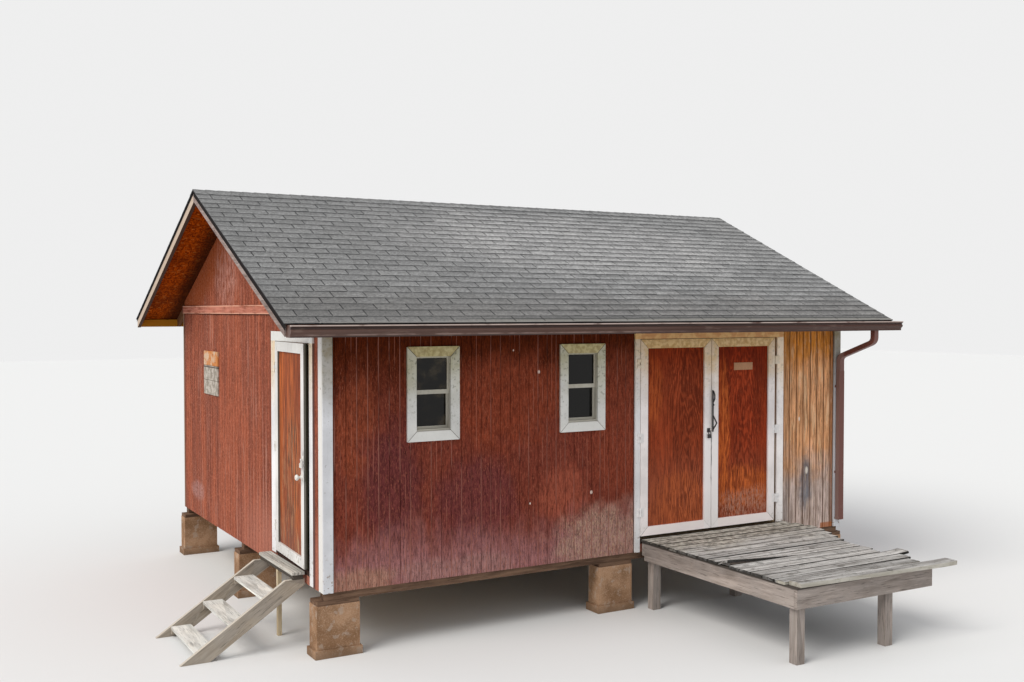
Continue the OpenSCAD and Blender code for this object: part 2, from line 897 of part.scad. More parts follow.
module landing_posts() {
    top = landing_z - landing_board_t - 40;
    ys = [landing_y - 140, landing_front_y + two_by];
    color([0.45, 0.40, 0.33])
        for (i = [0, 2], y = ys)
            translate([landing_joist_xs[i] + two_by, y, 0]) cube([four_w, four_w, top]);
}

// Three bare boards on the left gable

module sign_boards() {
    board_t = 15;
    board_l = 590;
    board_w = 160;
    board_pitch = 165;
    first_z = siding_z + 1470;
    y0 = -y_w + 3270;
    color([0.62, 0.56, 0.48])
        for (i = [0:2])
            translate([-x_w - board_t, y0, first_z + i * board_pitch])
                cube([board_t, board_l, board_w]);
}

// Hinges: a fixed plate with two knuckles and a pin, and a leaf plate with one knuckle

// Fixed half, its pin at the origin, its plate towards -X on a face plate_back behind
module hinge_fixed(plate_back, reach) {
    for (side = [-1, 1])
        translate([0, 0, side * knuckle_h])
            cylinder(h = knuckle_h - 1, r = knuckle_r, center = true);
    cylinder(h = 3 * knuckle_h - 1, r = pin_r, center = true);
    for (side = [-1, 1])
        translate([0, 0, side * knuckle_h])
            slab([-reach, 0, -knuckle_h / 2 + 0.5], [0, plate_back, knuckle_h / 2 - 0.5]);
    slab([-reach, plate_back - hinge_plate_t, -1.5 * knuckle_h + 0.5],
         [-knuckle_r - 2, plate_back, 1.5 * knuckle_h - 0.5]);
}

// Moving half, with its plate towards +X on the leaf's face
module hinge_moving(reach) {
    difference() {
        union() {
            cylinder(h = knuckle_h - 1, r = knuckle_r, center = true);
            slab([0, knuckle_r - hinge_plate_t, -knuckle_h / 2 + 0.5],
                 [reach, knuckle_r, knuckle_h / 2 - 0.5]);
        }
        cylinder(h = knuckle_h + 2, r = pin_r + 0.4, center = true);
    }
    slab([knuckle_r + 2, knuckle_r - hinge_plate_t, -1.5 * knuckle_h],
         [reach, knuckle_r, 1.5 * knuckle_h]);
}

// Places a front door hinge; the leaf is on the +X side
module at_left_hinges() {
    for (z = hinge_zs) translate([left_hinge_x, -y_w - hinge_face, z]) children();
}

module at_right_hinges() {
    for (z = hinge_zs)
        translate([right_hinge_x, -y_w - hinge_face, z]) mirror([1, 0, 0]) children();
}

// The side door's hinges, with the leaf on the -Y side
module at_side_hinges() {
    for (z = hinge_zs)
        translate([side_hinge_x, side_hinge_y, z]) rotate([0, 0, -90]) children();
}

module hinge_jamb_plates() {
    color([0.80, 0.79, 0.76]) {
        at_left_hinges() hinge_fixed(hinge_face - one_by, hinge_plate_w);
        at_right_hinges() hinge_fixed(hinge_face - one_by, right_hinge_reach);
        at_side_hinges() hinge_fixed(hinge_face - one_by, hinge_plate_w);
    }
}

// Double door leaves

module leaf_panel(x0, w) {
    slab([x0, -y_w - leaf_gap, leaf_z0], [x0 + w, -y_w - leaf_gap + siding_t, leaf_z1]);
}

module leaf_frame(x0, w) {
    translate([x0, -y_w - leaf_face, leaf_z0])
        mitred_frame(w, leaf_z1 - leaf_z0, four_w, one_by);
}

module left_leaf_panel() {
    color([0.52, 0.18, 0.09]) leaf_panel(left_leaf_x0, left_leaf_w);
}

module left_leaf_frame() {
    color([0.87, 0.86, 0.82]) leaf_frame(left_leaf_x0, left_leaf_w);
}

module right_leaf_panel() {
    color([0.52, 0.17, 0.09]) leaf_panel(right_leaf_x0, right_leaf_w);
}

module right_leaf_frame() {
    color([0.87, 0.86, 0.82]) leaf_frame(right_leaf_x0, right_leaf_w);
}

// A padlock hanging on a staple, on a face at y = 0 towards -Y
module padlock() {
    translate([0, 0, 18]) slab([-20, -3, -22], [20, 0, 22]);
    translate([-20, -26, -62]) cube([40, 18, 38]);
    for (side = [-1, 1])
        translate([side * 12, -17, -24]) cylinder(h = 34, r = 3.5);
    translate([-15.5, -20.5, 8]) cube([31, 7, 7]);
    translate([-3.5, -24, 1]) cube([7, 24, 7]);
}

module left_leaf_hardware() {
    color([0.12, 0.12, 0.12]) {
        at_left_hinges() hinge_moving(hinge_plate_w);
        translate([left_leaf_x1 - 34, -y_w - leaf_face, siding_z + 1160]) padlock();
    }
}

// A long pull on a face at y = 0 towards -Y: a plate with an arched grip over a boss, and a
// bent rod below
module pull_handle() {
    plate_w = 18;
    plate_h = 430;
    boss_z = 280;
    grip_z = 365;
    grip_half = 62;
    grip_reach = 33;
    grip_r = (grip_half * grip_half + grip_reach * grip_reach) / (2 * grip_reach);
    rod_z = 95;
    rod_half = 89;
    rod_reach = 70;
    rod_t = 10;
    rod_l = sqrt(rod_half * rod_half + rod_reach * rod_reach);
    rod_rise = rod_t * rod_l / rod_reach;
    rod_in = rod_t * rod_l / rod_half;
    slab([-plate_w / 2, -5, 0], [plate_w / 2, 0, plate_h]);
    translate([0, 0, boss_z]) rotate([90, 0, 0]) cylinder(h = 16, r = plate_w / 2);
    along_x(-rod_t / 2, rod_t / 2) {
        translate([0, rod_z])
            polygon([[0, -rod_half], [0, rod_rise - rod_half], [rod_in - rod_reach, 0],
                     [0, rod_half - rod_rise], [0, rod_half], [-rod_reach, 0]]);
        difference() {
            translate([grip_r - grip_reach, grip_z]) circle(r = grip_r + 4, $fn = 64);
            translate([grip_r - grip_reach, grip_z]) circle(r = grip_r - 6, $fn = 64);
            translate([-3, grip_z - 2 * grip_r]) square(4 * grip_r);
        }
    }
}

module right_leaf_hardware() {
    color([0.12, 0.12, 0.12]) {
        at_right_hinges() hinge_moving(hinge_plate_w);
        translate([right_leaf_x0 + 14, -y_w - leaf_face, siding_z + 1160]) pull_handle();
    }
}

// Side door, drawn closed and then turned ajar on its pins

module as_side_leaf() {
    translate([side_hinge_x, side_hinge_y, 0])
        rotate([0, 0, -side_ajar])
            translate([-side_hinge_x, -side_hinge_y, 0]) children();
}

module side_door_panel() {
    color([0.60, 0.27, 0.12])
        as_side_leaf()
            slab([-x_w - leaf_gap, side_leaf_y0, leaf_z0],
                 [-x_w - leaf_gap + siding_t, side_leaf_y1, leaf_z1]);
}

module side_door_frame() {
    color([0.88, 0.87, 0.84])
        as_side_leaf()
            translate([-x_w - leaf_face, side_leaf_y1, leaf_z0])
                rotate([0, 0, -90])
                    mitred_frame(side_leaf_w, leaf_z1 - leaf_z0, four_w, one_by);
}

module side_door_hardware() {
    knob_y = side_leaf_y0 + 58;
    hasp_y = side_leaf_y0 + 30;
    color([0.70, 0.68, 0.64])
        as_side_leaf() {
            at_side_hinges() hinge_moving(hinge_plate_w);
            translate([-x_w - leaf_face, knob_y, siding_z + 960])
                rotate([0, -90, 0])
                    rotate_extrude()
                        polygon([[0, 0], [30, 0], [30, 5], [11, 9], [11, 30], [24, 38],
                                 [27, 50], [20, 60], [0, 63]]);
            translate([-x_w - leaf_face, hasp_y, siding_z + 1110])
                rotate([0, 0, -90]) padlock();
        }
}

pier_pads();
pier_lower_blocks();
pier_upper_blocks();
pier_shims();
floor_beams();
floor_joists();
floor_rims();
floor_deck();
siding_front_left();
siding_front_right();
siding_at_doors();
siding_left();
siding_right();
siding_back();
gable_siding();
sole_plates();
wall_studs();
headers_and_sills();
top_plates();
rafters();
ridge_board();
roof_deck_front();
roof_deck_back();
shingles_front();
shingles_back();
ridge_shingles();
fascia_boards();
barge_boards();
gable_bands();
corner_boards();
gutter_back();
gutter_floor();
gutter_front();
gutter_ends();
downspout();
window_casings();
window_frames();
window_sashes();
window_glass();
door_side_casings();
door_head_casings();
step_stringers();
step_treads();
step_post();
landing_boards();
landing_frame();
landing_posts();
sign_boards();
hinge_jamb_plates();
left_leaf_panel();
left_leaf_frame();
left_leaf_hardware();
right_leaf_panel();
right_leaf_frame();
right_leaf_hardware();
side_door_panel();
side_door_frame();
side_door_hardware();
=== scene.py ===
"""Finish of a timber boathouse: materials, grooved siding, shingle tabs, worn boards and small trim."""

import math
import random

import bpy
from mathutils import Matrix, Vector


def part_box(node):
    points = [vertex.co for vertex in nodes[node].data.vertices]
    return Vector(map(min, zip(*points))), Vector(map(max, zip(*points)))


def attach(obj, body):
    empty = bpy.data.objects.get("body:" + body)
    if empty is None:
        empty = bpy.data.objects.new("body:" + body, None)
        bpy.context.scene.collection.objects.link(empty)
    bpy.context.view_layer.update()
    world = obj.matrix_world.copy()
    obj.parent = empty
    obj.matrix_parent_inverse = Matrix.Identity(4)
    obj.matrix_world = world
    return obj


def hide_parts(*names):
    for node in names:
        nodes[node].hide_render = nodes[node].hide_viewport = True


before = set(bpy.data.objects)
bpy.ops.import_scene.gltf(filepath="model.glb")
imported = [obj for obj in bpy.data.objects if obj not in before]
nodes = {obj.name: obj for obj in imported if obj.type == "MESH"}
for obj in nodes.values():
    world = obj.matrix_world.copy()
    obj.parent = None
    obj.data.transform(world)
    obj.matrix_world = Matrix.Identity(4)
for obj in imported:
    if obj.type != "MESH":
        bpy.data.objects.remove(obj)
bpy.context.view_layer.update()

# Measures in metres, taken from the frame where a node gives them
roof_lo, roof_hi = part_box("shingles_front")
ROOF_X0, ROOF_X1 = roof_lo.x, roof_hi.x
EAVE_Y = -roof_lo.y
RIDGE_Z = roof_hi.z
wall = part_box("siding_back")[1]
WALL_X, WALL_Y = wall.x, wall.y
DOORS_X1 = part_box("siding_front_right")[0].x
PITCH = 5.5 / 12
SLOPE = math.atan(PITCH)
PLUMB = 1 / math.cos(SLOPE)
SLAB_PLUMB = 0.008 * PLUMB

# The landing's rows from its edge at the wall, and the front board; the steps' slope and stripes
LANDING_PITCH = 0.145
LANDING_BACK = -2.4595
FRONT_BOARD_Y = -4.38
STEP_TURN = math.atan(0.67)
STRIPE_PITCH = 0.03
TREAD_X = -3.071

# Places on the walls: the inner edges of the front's corner boards, the edge of the door casing,
# the gable band's foot and top, the two doorways, and the strip under them
CORNER_EDGE = 2.95
CASING_EDGE = 0.217
BAND = (2.944, 3.033)
SIDE_DOORWAY = (-2.17, -1.22)
DOUBLE_DOORWAY = (0.2, 2.2)
SILL_STRIP = (0.64, 0.716)

# Grooves of the siding
GROOVE_PITCH = 0.1016
GROOVE_W = 0.0095
GROOVE_D = 0.006
FRONT_START = -WALL_X + 0.011
BARE_START = 2.198
GABLE_START = -WALL_Y

# Door leaves, as the middle and half width of each, and the joint of the gable's three boards
LEAVES = ((0.7315, 0.4505), (1.625, 0.435))
LEAF_TOP = 2.689
LEAF_FOOT = 0.718
LEAF_SEAM = 1.187
RAIL = 0.09
SIGN_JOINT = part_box("sign_boards")[1].z - 0.175
SIGN_TOP = 2.355

# Window casings, as the middle of the pair, each one's way from it, and half sizes
WINDOWS_X = -1.2035
WINDOW_AWAY = 0.7995
WINDOW_Z = 2.234
CASING_HALF = (0.259, 0.423)

# Heights on the gutter's face where light and shade are painted: its foot, the hollow under the lip, and the
# lip
GUTTER_FOOT = (2.776, 2.785)
GUTTER_HOLLOW = (2.829, 2.848)
GUTTER_LIP = 2.85
GUTTER_FACE_Y = -2.955

# A pale haze low on the gable, as y and z
HAZE = (1.794, 0.849)

# White patches on the bare siding, as x, z and half sizes
BARE_PATCHES = ((2.559, 1.217, 0.024, 0.048), (2.445, 1.791, 0.013, 0.028))

# Pale spots on the front, as x, z and half width
FRONT_SPOTS = ((-0.895, 2.399, 0.014), (-0.296, 1.207, 0.017), (-0.991, 1.157, 0.009), (-1.173, 2.607, 0.008))

# Patches on the front, as centre, half sizes, colour and share: those of the wall, and those at its foot
FRONT_PATCHES = (
    ((-1.25, 2.15), (0.75, 0.5), (0.212, 0.042, 0.018), 0.85),
    ((-2.74, 1.95), (0.22, 0.55), (0.215, 0.047, 0.02), 0.8),
    ((0.02, 1.85), (0.4, 0.8), (0.205, 0.042, 0.02), 0.7),
    ((-2.4, 1.45), (0.34, 0.6), (0.098, 0.024, 0.027), 0.72),
    ((-1.58, 1.2), (0.5, 0.45), (0.118, 0.029, 0.031), 0.72),
    ((-0.62, 1.2), (0.3, 0.3), (0.31, 0.078, 0.044), 0.65),
)
FOOT_PATCHES = (
    ((-0.08, 0.68), (0.7, 0.44), (0.32, 0.195, 0.16), 0.75),
    ((-2.7, 0.6), (0.38, 0.18), (0.335, 0.185, 0.125), 0.7),
    ((-1.8, 0.62), (0.7, 0.14), (0.3, 0.165, 0.15), 0.6),
)

# Shingle courses
COURSE = 0.127
TAB = 0.305
SLOT = 0.012
LAP = 0.02
TAB_LEAST = 0.02
BUTT_RISE = 0.005
BUTT_OUT = 0.004
SLOPE_LENGTH = EAVE_Y / math.cos(SLOPE)


# Materials

# How far the pattern of one board may lie from the next one's
ISLAND_REACH = 37.0


class Value:
    """The number that a socket gives, with arithmetic that adds nodes."""

    def __init__(self, paint, socket):
        self.paint = paint
        self.socket = socket

    def __add__(self, other):
        return self.paint.math("ADD", self, other)

    def __sub__(self, other):
        return self.paint.math("SUBTRACT", self, other)

    def __rsub__(self, other):
        return self.paint.math("SUBTRACT", other, self)

    def __mul__(self, other):
        return self.paint.math("MULTIPLY", self, other)

    def __truediv__(self, number):
        return self * (1 / number)

    def __abs__(self):
        return self.paint.math("ABSOLUTE", self)

    __radd__ = __add__
    __rmul__ = __mul__


class Paint:
    """One procedural material, whose patterns lie in the row frame in metres."""

    def __init__(self, name, rough=0.8, specular=0.06):
        self.mat = bpy.data.materials.new(name)
        self.mat.use_nodes = True
        self.nodes = self.mat.node_tree.nodes
        self.links = self.mat.node_tree.links
        self.shader = self.nodes["Principled BSDF"]
        self.shader.inputs["Roughness"].default_value = rough
        self.shader.inputs["Specular IOR Level"].default_value = specular
        self.place = self.node("TexCoord", {}).outputs["Object"]
        self.x, self.y, self.z = self.split(self.place)
        self.colour = None

    def put(self, socket, value):
        """Link an input to a Value or a socket, or set it to a number, a vector or a colour."""
        if isinstance(value, Value):
            value = value.socket
        if isinstance(value, bpy.types.NodeSocket):
            self.links.new(value, socket)
        elif isinstance(value, tuple) and len(socket.default_value) == 4:
            socket.default_value = (*value, 1.0)
        else:
            socket.default_value = value

    def node(self, kind, inputs, **settings):
        node = self.nodes.new("ShaderNode" + kind)
        for name, value in settings.items():
            setattr(node, name, value)
        for key, value in inputs.items():
            self.put(node.inputs[key], value)
        return node

    def math(self, operation, a, b=0.0):
        return Value(self, self.node("Math", {0: a, 1: b}, operation=operation).outputs[0])

    def split(self, vector):
        return [Value(self, part) for part in self.node("SeparateXYZ", {0: vector}).outputs]

    def stretch(self, sx, sy, sz, shift=None):
        scales = {0: self.place, 1: (sx, sy, sz)}
        place = self.node("VectorMath", scales, operation="MULTIPLY").outputs[0]
        if shift is None:
            return place
        return self.node("VectorMath", {0: place, 1: shift}, operation="ADD").outputs[0]

    def noise(self, scale=1.0, detail=3.0, where=None, rough=0.55):
        inputs = {"Vector": where or self.place, "Scale": scale, "Detail": detail, "Roughness": rough}
        return Value(self, self.node("TexNoise", inputs).outputs[0])

    def grain(self, axis, across, length, detail, rough=0.55, shift=None):
        """Noise drawn out along one axis, with its scale across the axis and its scale along it."""
        scales = [across] * 3
        scales["XYZ".index(axis)] = length
        return self.noise(1.0, detail, self.stretch(*scales, shift), rough)

    def flakes(self, scale, where):
        """Three random numbers for each cell of a pattern of flakes."""
        colour = self.node("TexVoronoi", {"Vector": where, "Scale": scale}).outputs["Color"]
        return self.node("SeparateColor", {0: colour}).outputs

    def ramp(self, value, start, end):
        """0 at start and 1 at end, smooth between; start may be the larger."""
        low, high = sorted((start, end))
        rising = start < end
        inputs = {"Value": value, "From Min": low, "From Max": high,
                  "To Min": 0.0 if rising else 1.0, "To Max": 1.0 if rising else 0.0}
        return Value(self, self.node("MapRange", inputs, interpolation_type="SMOOTHSTEP").outputs[0])

    def mix(self, share, a, b, kind="MIX"):
        return self.node("Mix", {0: share, 6: a, 7: b}, data_type="RGBA", blend_type=kind).outputs[2]

    def lay(self, share, colour):
        """Lay a colour over what is there."""
        self.colour = self.mix(share, self.colour, colour)

    def tint(self, share, colour):
        """Multiply what is there by a colour."""
        self.colour = self.mix(share, self.colour, colour, "MULTIPLY")

    def tone(self, share, a, b):
        """Multiply what is there by a colour between a and b."""
        self.tint(1.0, self.mix(share, a, b))

    def turned(self, angle):
        """The place turned about Y, for grain that runs along a slope."""
        inputs = {"Vector": self.place, "Angle": angle}
        return self.node("VectorRotate", inputs, rotation_type="Y_AXIS").outputs[0]

    def island(self):
        """A random number for each separate board or tab."""
        return Value(self, self.node("NewGeometry", {}).outputs["Random Per Island"])

    def island_shift(self):
        """A vector that moves a pattern by another amount on each separate board."""
        amount = self.island() * ISLAND_REACH
        return self.node("CombineXYZ", {0: amount, 1: amount, 2: amount}).outputs[0]

    def blob(self, a, b, centre, size, ragged):
        """A ragged patch about a centre, on the plane of the coordinates a and b."""
        da = (a - centre[0]) / size[0]
        db = (b - centre[1]) / size[1]
        far = self.math("SQRT", da * da + db * db)
        return self.ramp(far + (self.noise(5.0, 5) - 0.5) * ragged, 1.15, 0.55)

    def within(self, value, low, high, soft=0.01):
        """1 between two values, and 0 outside them."""
        return self.ramp(value, low - soft, low) * self.ramp(value, high + soft, high)

    def facing(self, axis):
        """How far the surface faces along an axis, from -1 to 1."""
        return self.split(self.node("TexCoord", {}).outputs["Normal"])["XYZ".index(axis)]

    def finish(self, height=None, depth=0.002, strength=0.5):
        """Set the colour, and the relief that a height gives."""
        self.put(self.shader.inputs["Base Color"], self.colour)
        if height is not None:
            bump = self.node("Bump", {"Strength": strength, "Distance": depth, "Height": height})
            self.links.new(bump.outputs[0], self.shader.inputs["Normal"])
        return self.mat


def scaled(colour, factor):
    return tuple(min(1.0, factor * c) for c in colour)


def groove_line(p, coordinate, start, half):
    """1 along the grooves that repeat from a start."""
    phase = p.math("FRACT", (coordinate + (100.5 * GROOVE_PITCH - start)) / GROOVE_PITCH)
    away = abs(phase - 0.5) * GROOVE_PITCH
    return p.ramp(away, half, half * 0.4)


def red_front():
    p = Paint("red_stain_front", rough=0.75)
    broad = p.grain("Z", 6, 0.7, 3)
    streak = p.grain("Z", 66, 9.0, 6, 0.72)
    fleck = p.grain("Z", 120, 38, 4, 0.7)
    level = p.z + ((broad + p.noise(3.5, 4)) * 0.5 - 0.5) * 0.9
    # Darker towards the top: painted shade of the eave.
    p.colour = p.mix(p.ramp(level, 1.8, 2.7), (0.16, 0.034, 0.02), (0.08, 0.0125, 0.002))
    for centre, size, colour, share in FRONT_PATCHES:
        p.lay(p.blob(p.x, p.z, centre, size, 1.0) * share, colour)
    p.lay(p.ramp(level, 1.16, 0.66) * 0.85, (0.28, 0.13, 0.13))
    for centre, size, colour, share in FOOT_PATCHES:
        p.lay(p.blob(p.x, p.z, centre, size, 1.2) * share, colour)
    p.tone(p.ramp(streak, 0.34, 0.66), (0.6, 0.56, 0.56), (1.45, 1.45, 1.45))
    speckled = p.ramp(p.grain("Z", 110, 34, 4), 0.52, 0.62)
    speckled *= p.blob(p.x, p.z, (-0.22, 0.78), (0.6, 0.3), 0.9)
    p.lay(speckled * 0.65, (0.5, 0.34, 0.22))
    # The light flecks darken towards the top as well: painted shade of the eave.
    bright = p.mix(p.ramp(p.z, 2.75, 2.3), (0.15, 0.03, 0.006), (0.35, 0.112, 0.066))
    p.lay(p.ramp(fleck, 0.545, 0.66) * 0.62, bright)
    p.lay(p.ramp(fleck, 0.455, 0.34) * 0.62, (0.034, 0.007, 0.006))
    broken = p.grain("Z", 22, 1.6, 5)
    worn = groove_line(p, p.x, FRONT_START, 0.006) * p.ramp(broken, 0.42, 0.56)
    p.lay(worn * 0.85, (0.49, 0.215, 0.16))
    thin = groove_line(p, p.x, FRONT_START + 0.05, 0.0035) * p.ramp(broken, 0.53, 0.6)
    p.lay(thin * 0.6, (0.4, 0.15, 0.1))
    for x, z, radius in FRONT_SPOTS:
        p.lay(p.blob(p.x, p.z, (x, z), (radius, 1.3 * radius), 0.5), (0.72, 0.58, 0.5))
    end = p.ramp(p.facing("X"), -0.5, -0.9) * p.ramp(p.x, -WALL_X + 0.02, -WALL_X + 0.01)
    p.lay(end, p.mix(p.ramp(p.y, -0.1, 0.1), (0.66, 0.64, 0.61), (0.36, 0.225, 0.14)))
    # Dark lines beside the corner board and the door casing: painted shade at their edges.
    edges = p.within(p.x, -CORNER_EDGE - 0.01, -CORNER_EDGE, 0.002)
    edges += p.within(p.x, CASING_EDGE - 0.01, CASING_EDGE, 0.002)
    p.lay(edges * 0.8, (0.025, 0.012, 0.011))
    return p.finish(fleck + streak * 0.6, depth=0.0022)


def red_gable():
    p = Paint("red_stain_gable", rough=0.8)
    broad = p.grain("Z", 4, 0.35, 3)
    streak = p.grain("Z", 58, 9.0, 6, 0.72)
    fleck = p.grain("Z", 105, 36, 4, 0.7)
    p.colour = p.mix(p.ramp(broad, 0.38, 0.62), (0.205, 0.055, 0.031), (0.3, 0.08, 0.04))
    p.tone(p.ramp(streak, 0.34, 0.66), (0.62, 0.6, 0.6), (1.42, 1.42, 1.42))
    pale = p.ramp(p.grain("Z", 34, 1.0, 5), 0.54, 0.66) * p.ramp(p.noise(0.9, 3), 0.4, 0.56)
    p.lay(pale * 0.55, (0.46, 0.24, 0.185))
    low = p.ramp(p.z + (streak - 0.5) * 0.8, 1.35, 0.75)
    p.lay(low * (0.05 + p.ramp(p.y, 0.5, -0.9) * 0.6), (0.43, 0.17, 0.12))
    top = p.blob(p.y, p.z, (0.15, 4.0), (0.8, 0.3), 0.4)
    p.lay(top * 0.6, (0.36, 0.095, 0.022))
    # A darker orange band along the far roof line: painted shade under the rake.
    slope = p.z + abs(p.y) * PITCH
    rake_shade = p.ramp(slope, 3.62, 3.95) * (p.ramp(p.y, -0.3, 0.2) * p.ramp(p.z, 3.03, 3.04))
    p.lay(rake_shade * 0.75, (0.35, 0.078, 0.016))
    hazy = p.blob(p.y, p.z, (0.55, 3.38), (0.5, 0.4), 0.8) * p.ramp(streak, 0.44, 0.6)
    p.lay(hazy * 0.65, (0.54, 0.31, 0.26))
    stain = p.blob(p.y, p.z, HAZE, (0.3, 0.12), 1.3) * p.ramp(fleck, 0.4, 0.6)
    p.lay(stain * 0.45, (0.52, 0.38, 0.38))
    p.lay(p.ramp(fleck, 0.54, 0.65) * 0.7, (0.55, 0.24, 0.155))
    p.lay(p.ramp(fleck, 0.46, 0.35) * 0.74, (0.092, 0.022, 0.015))
    broken = p.grain("Z", 22, 1.6, 5)
    worn = groove_line(p, p.y, GABLE_START, 0.006) * p.ramp(broken, 0.44, 0.56)
    p.lay(worn * 0.6, (0.46, 0.22, 0.15))
    proud = p.ramp(abs(p.x), WALL_X + 0.004, WALL_X + 0.006)
    along = p.grain("Y", 30, 3.0, 5)
    whole = p.within(p.z, *BAND, 0.003) * proud
    p.lay(whole * (0.05 + p.ramp(along, 0.3, 0.65) * 0.8), (0.56, 0.22, 0.155))
    # Light lines along the band's top and bottom edges: painted highlight.
    edges = p.within(p.z, BAND[0], BAND[0] + 0.009, 0.003) + p.within(p.z, BAND[1] - 0.009, BAND[1], 0.003)
    p.lay(edges * proud * (p.ramp(along, 0.3, 0.52) * 0.8), (0.66, 0.36, 0.25))
    # A dark line just under the band: painted shadow.
    p.lay(p.within(p.z, BAND[0] - 0.012, BAND[0] - 0.001, 0.002) * 0.6, (0.055, 0.016, 0.012))
    # Darker at the far edge of the gable: painted shade at the back corner.
    p.lay(p.ramp(p.y, 2.36, 2.4) * 0.75, (0.06, 0.02, 0.014))
    outside = p.ramp(abs(p.x), WALL_X - 0.03, WALL_X - 0.02)
    seam = GABLE_START + GROOVE_PITCH
    strip = p.ramp(p.y, seam + 0.002, seam - 0.002) * p.ramp(p.z, 2.96, 2.95)
    chip = p.ramp(p.noise(34.0, 5), 0.68, 0.72)
    p.lay(strip * outside * (1.0 - chip * 0.8), (0.7, 0.68, 0.655))
    # A dark strip under the doorways: painted shade in the gap under the doors.
    doorway = p.within(p.y, *SIDE_DOORWAY, 0.004) * p.ramp(p.x, 0.1, 0.0)
    below = p.math("MAXIMUM", doorway, p.within(p.x, *DOUBLE_DOORWAY, 0.004))
    p.lay(below * p.within(p.z, *SILL_STRIP, 0.004) * 0.9, (0.03, 0.024, 0.02))
    return p.finish(fleck + streak * 0.5)


def bare_siding():
    p = Paint("bare_siding", rough=0.85)
    streak = p.grain("Z", 50, 2.4, 6, 0.68)
    fleck = p.grain("Z", 120, 9, 4, 0.65)
    level = p.z + (p.noise(2.6, 4) - 0.5) * 1.0
    p.colour = p.mix(p.ramp(level, 2.1, 2.8), (0.66, 0.325, 0.16), (0.62, 0.225, 0.036))
    p.lay(p.ramp(level, 1.45, 0.95) * 0.85, (0.5, 0.425, 0.405))
    p.lay(p.blob(p.x, p.z, (2.54, 1.1), (0.12, 0.3), 1.2) * 0.8, (0.085, 0.105, 0.135))
    pale = p.ramp(p.grain("Z", 14, 2.5, 4), 0.54, 0.66) * p.ramp(p.z, 1.0, 1.5)
    p.lay(pale * 0.55, (0.66, 0.45, 0.28))
    p.tone(p.ramp(streak, 0.34, 0.66), (0.55, 0.52, 0.48), (1.42, 1.42, 1.42))
    p.lay(p.ramp(p.x, CORNER_EDGE - 0.07, CORNER_EDGE) * 0.65, (0.22, 0.075, 0.03))
    p.tint(p.ramp(p.x, 2.37, 2.25) * 0.9, (0.68, 0.72, 0.75))
    wander = (p.grain("Z", 14, 3.0, 3) - 0.5) * 0.012
    soft = groove_line(p, p.x + wander, BARE_START, 0.017)
    dark = soft * (0.14 + p.grain("Z", 20, 2.4, 3) * 0.64)
    p.lay(dark, (0.115, 0.055, 0.026))
    p.lay(p.ramp(fleck, 0.46, 0.34) * 0.65, (0.11, 0.058, 0.028))
    p.lay(p.ramp(fleck, 0.57, 0.68) * 0.4, (0.74, 0.55, 0.36))
    for x, z, width, height in BARE_PATCHES:
        p.lay(p.blob(p.x, p.z, (x, z), (width, height), 0.7) * 0.8, (0.8, 0.73, 0.64))
    foot = p.within(p.x, 2.775, CORNER_EDGE, 0.01) * p.ramp(p.z, 0.625, 0.605)
    p.lay(foot * 0.8, (0.36, 0.115, 0.035))
    # A dark line beside the corner board: painted shade at its edge.
    p.lay(p.within(p.x, CORNER_EDGE, CORNER_EDGE + 0.01, 0.003) * 0.8, (0.035, 0.022, 0.015))
    return p.finish(fleck + streak)


def door_panel(name, low_colour, base, centre, flames, worn):
    """Stained plywood whose figure closes in arches over a centre."""
    p = Paint(name, rough=0.6, specular=0.05)
    fleck = p.grain("Z", 130, 24, 4, 0.68)
    streak = p.grain("Z", 60, 5.0, 6, 0.7)
    wobble = (p.noise(1.0, 3, p.stretch(7.0, 7.0, 1.6)) - 0.5) * 9.0
    da = (p.x - centre[0]) / 0.026
    db = (p.z - centre[1]) / 0.17
    far = p.math("SQRT", da * da + db * db) + wobble
    rings = p.math("SINE", far * math.tau)
    p.colour = p.mix(p.ramp(p.grain("Z", 6, 0.8, 3), 0.38, 0.62), scaled(base, 0.72), base)
    level = p.z + (streak - 0.5) * 0.9
    p.lay(p.ramp(level, 1.75, 1.05) * 0.8, low_colour)
    for place, size, share in flames:
        glow = p.blob(p.x, p.z, place, size, 0.8) * p.ramp(streak, 0.34, 0.56)
        p.lay(glow * share, (0.46, 0.105, 0.022))
    p.tone(p.ramp(streak, 0.34, 0.66), (0.7, 0.64, 0.64), (1.33, 1.35, 1.35))
    figure = p.mix(p.ramp(rings, -0.6, 0.9), (0.66, 0.6, 0.6), (1.45, 1.5, 1.5))
    p.tint(p.ramp(abs(p.x - centre[0]), 0.34, 0.14) * 0.65, figure)
    patch = p.blob(p.x, p.z, (1.66, 0.92), (0.42, 0.2), 0.9) * worn
    p.lay(patch * p.ramp(fleck, 0.42, 0.62), (0.46, 0.23, 0.16))
    p.lay(p.ramp(fleck, 0.57, 0.7) * 0.4, (0.42, 0.13, 0.055))
    p.lay(p.ramp(fleck, 0.44, 0.33) * 0.55, (0.045, 0.01, 0.005))
    p.tint(p.ramp(p.z, 2.15, 2.7), (0.7, 0.46, 0.2))
    return p.finish(fleck + rings * 0.2, depth=0.001, strength=0.4)


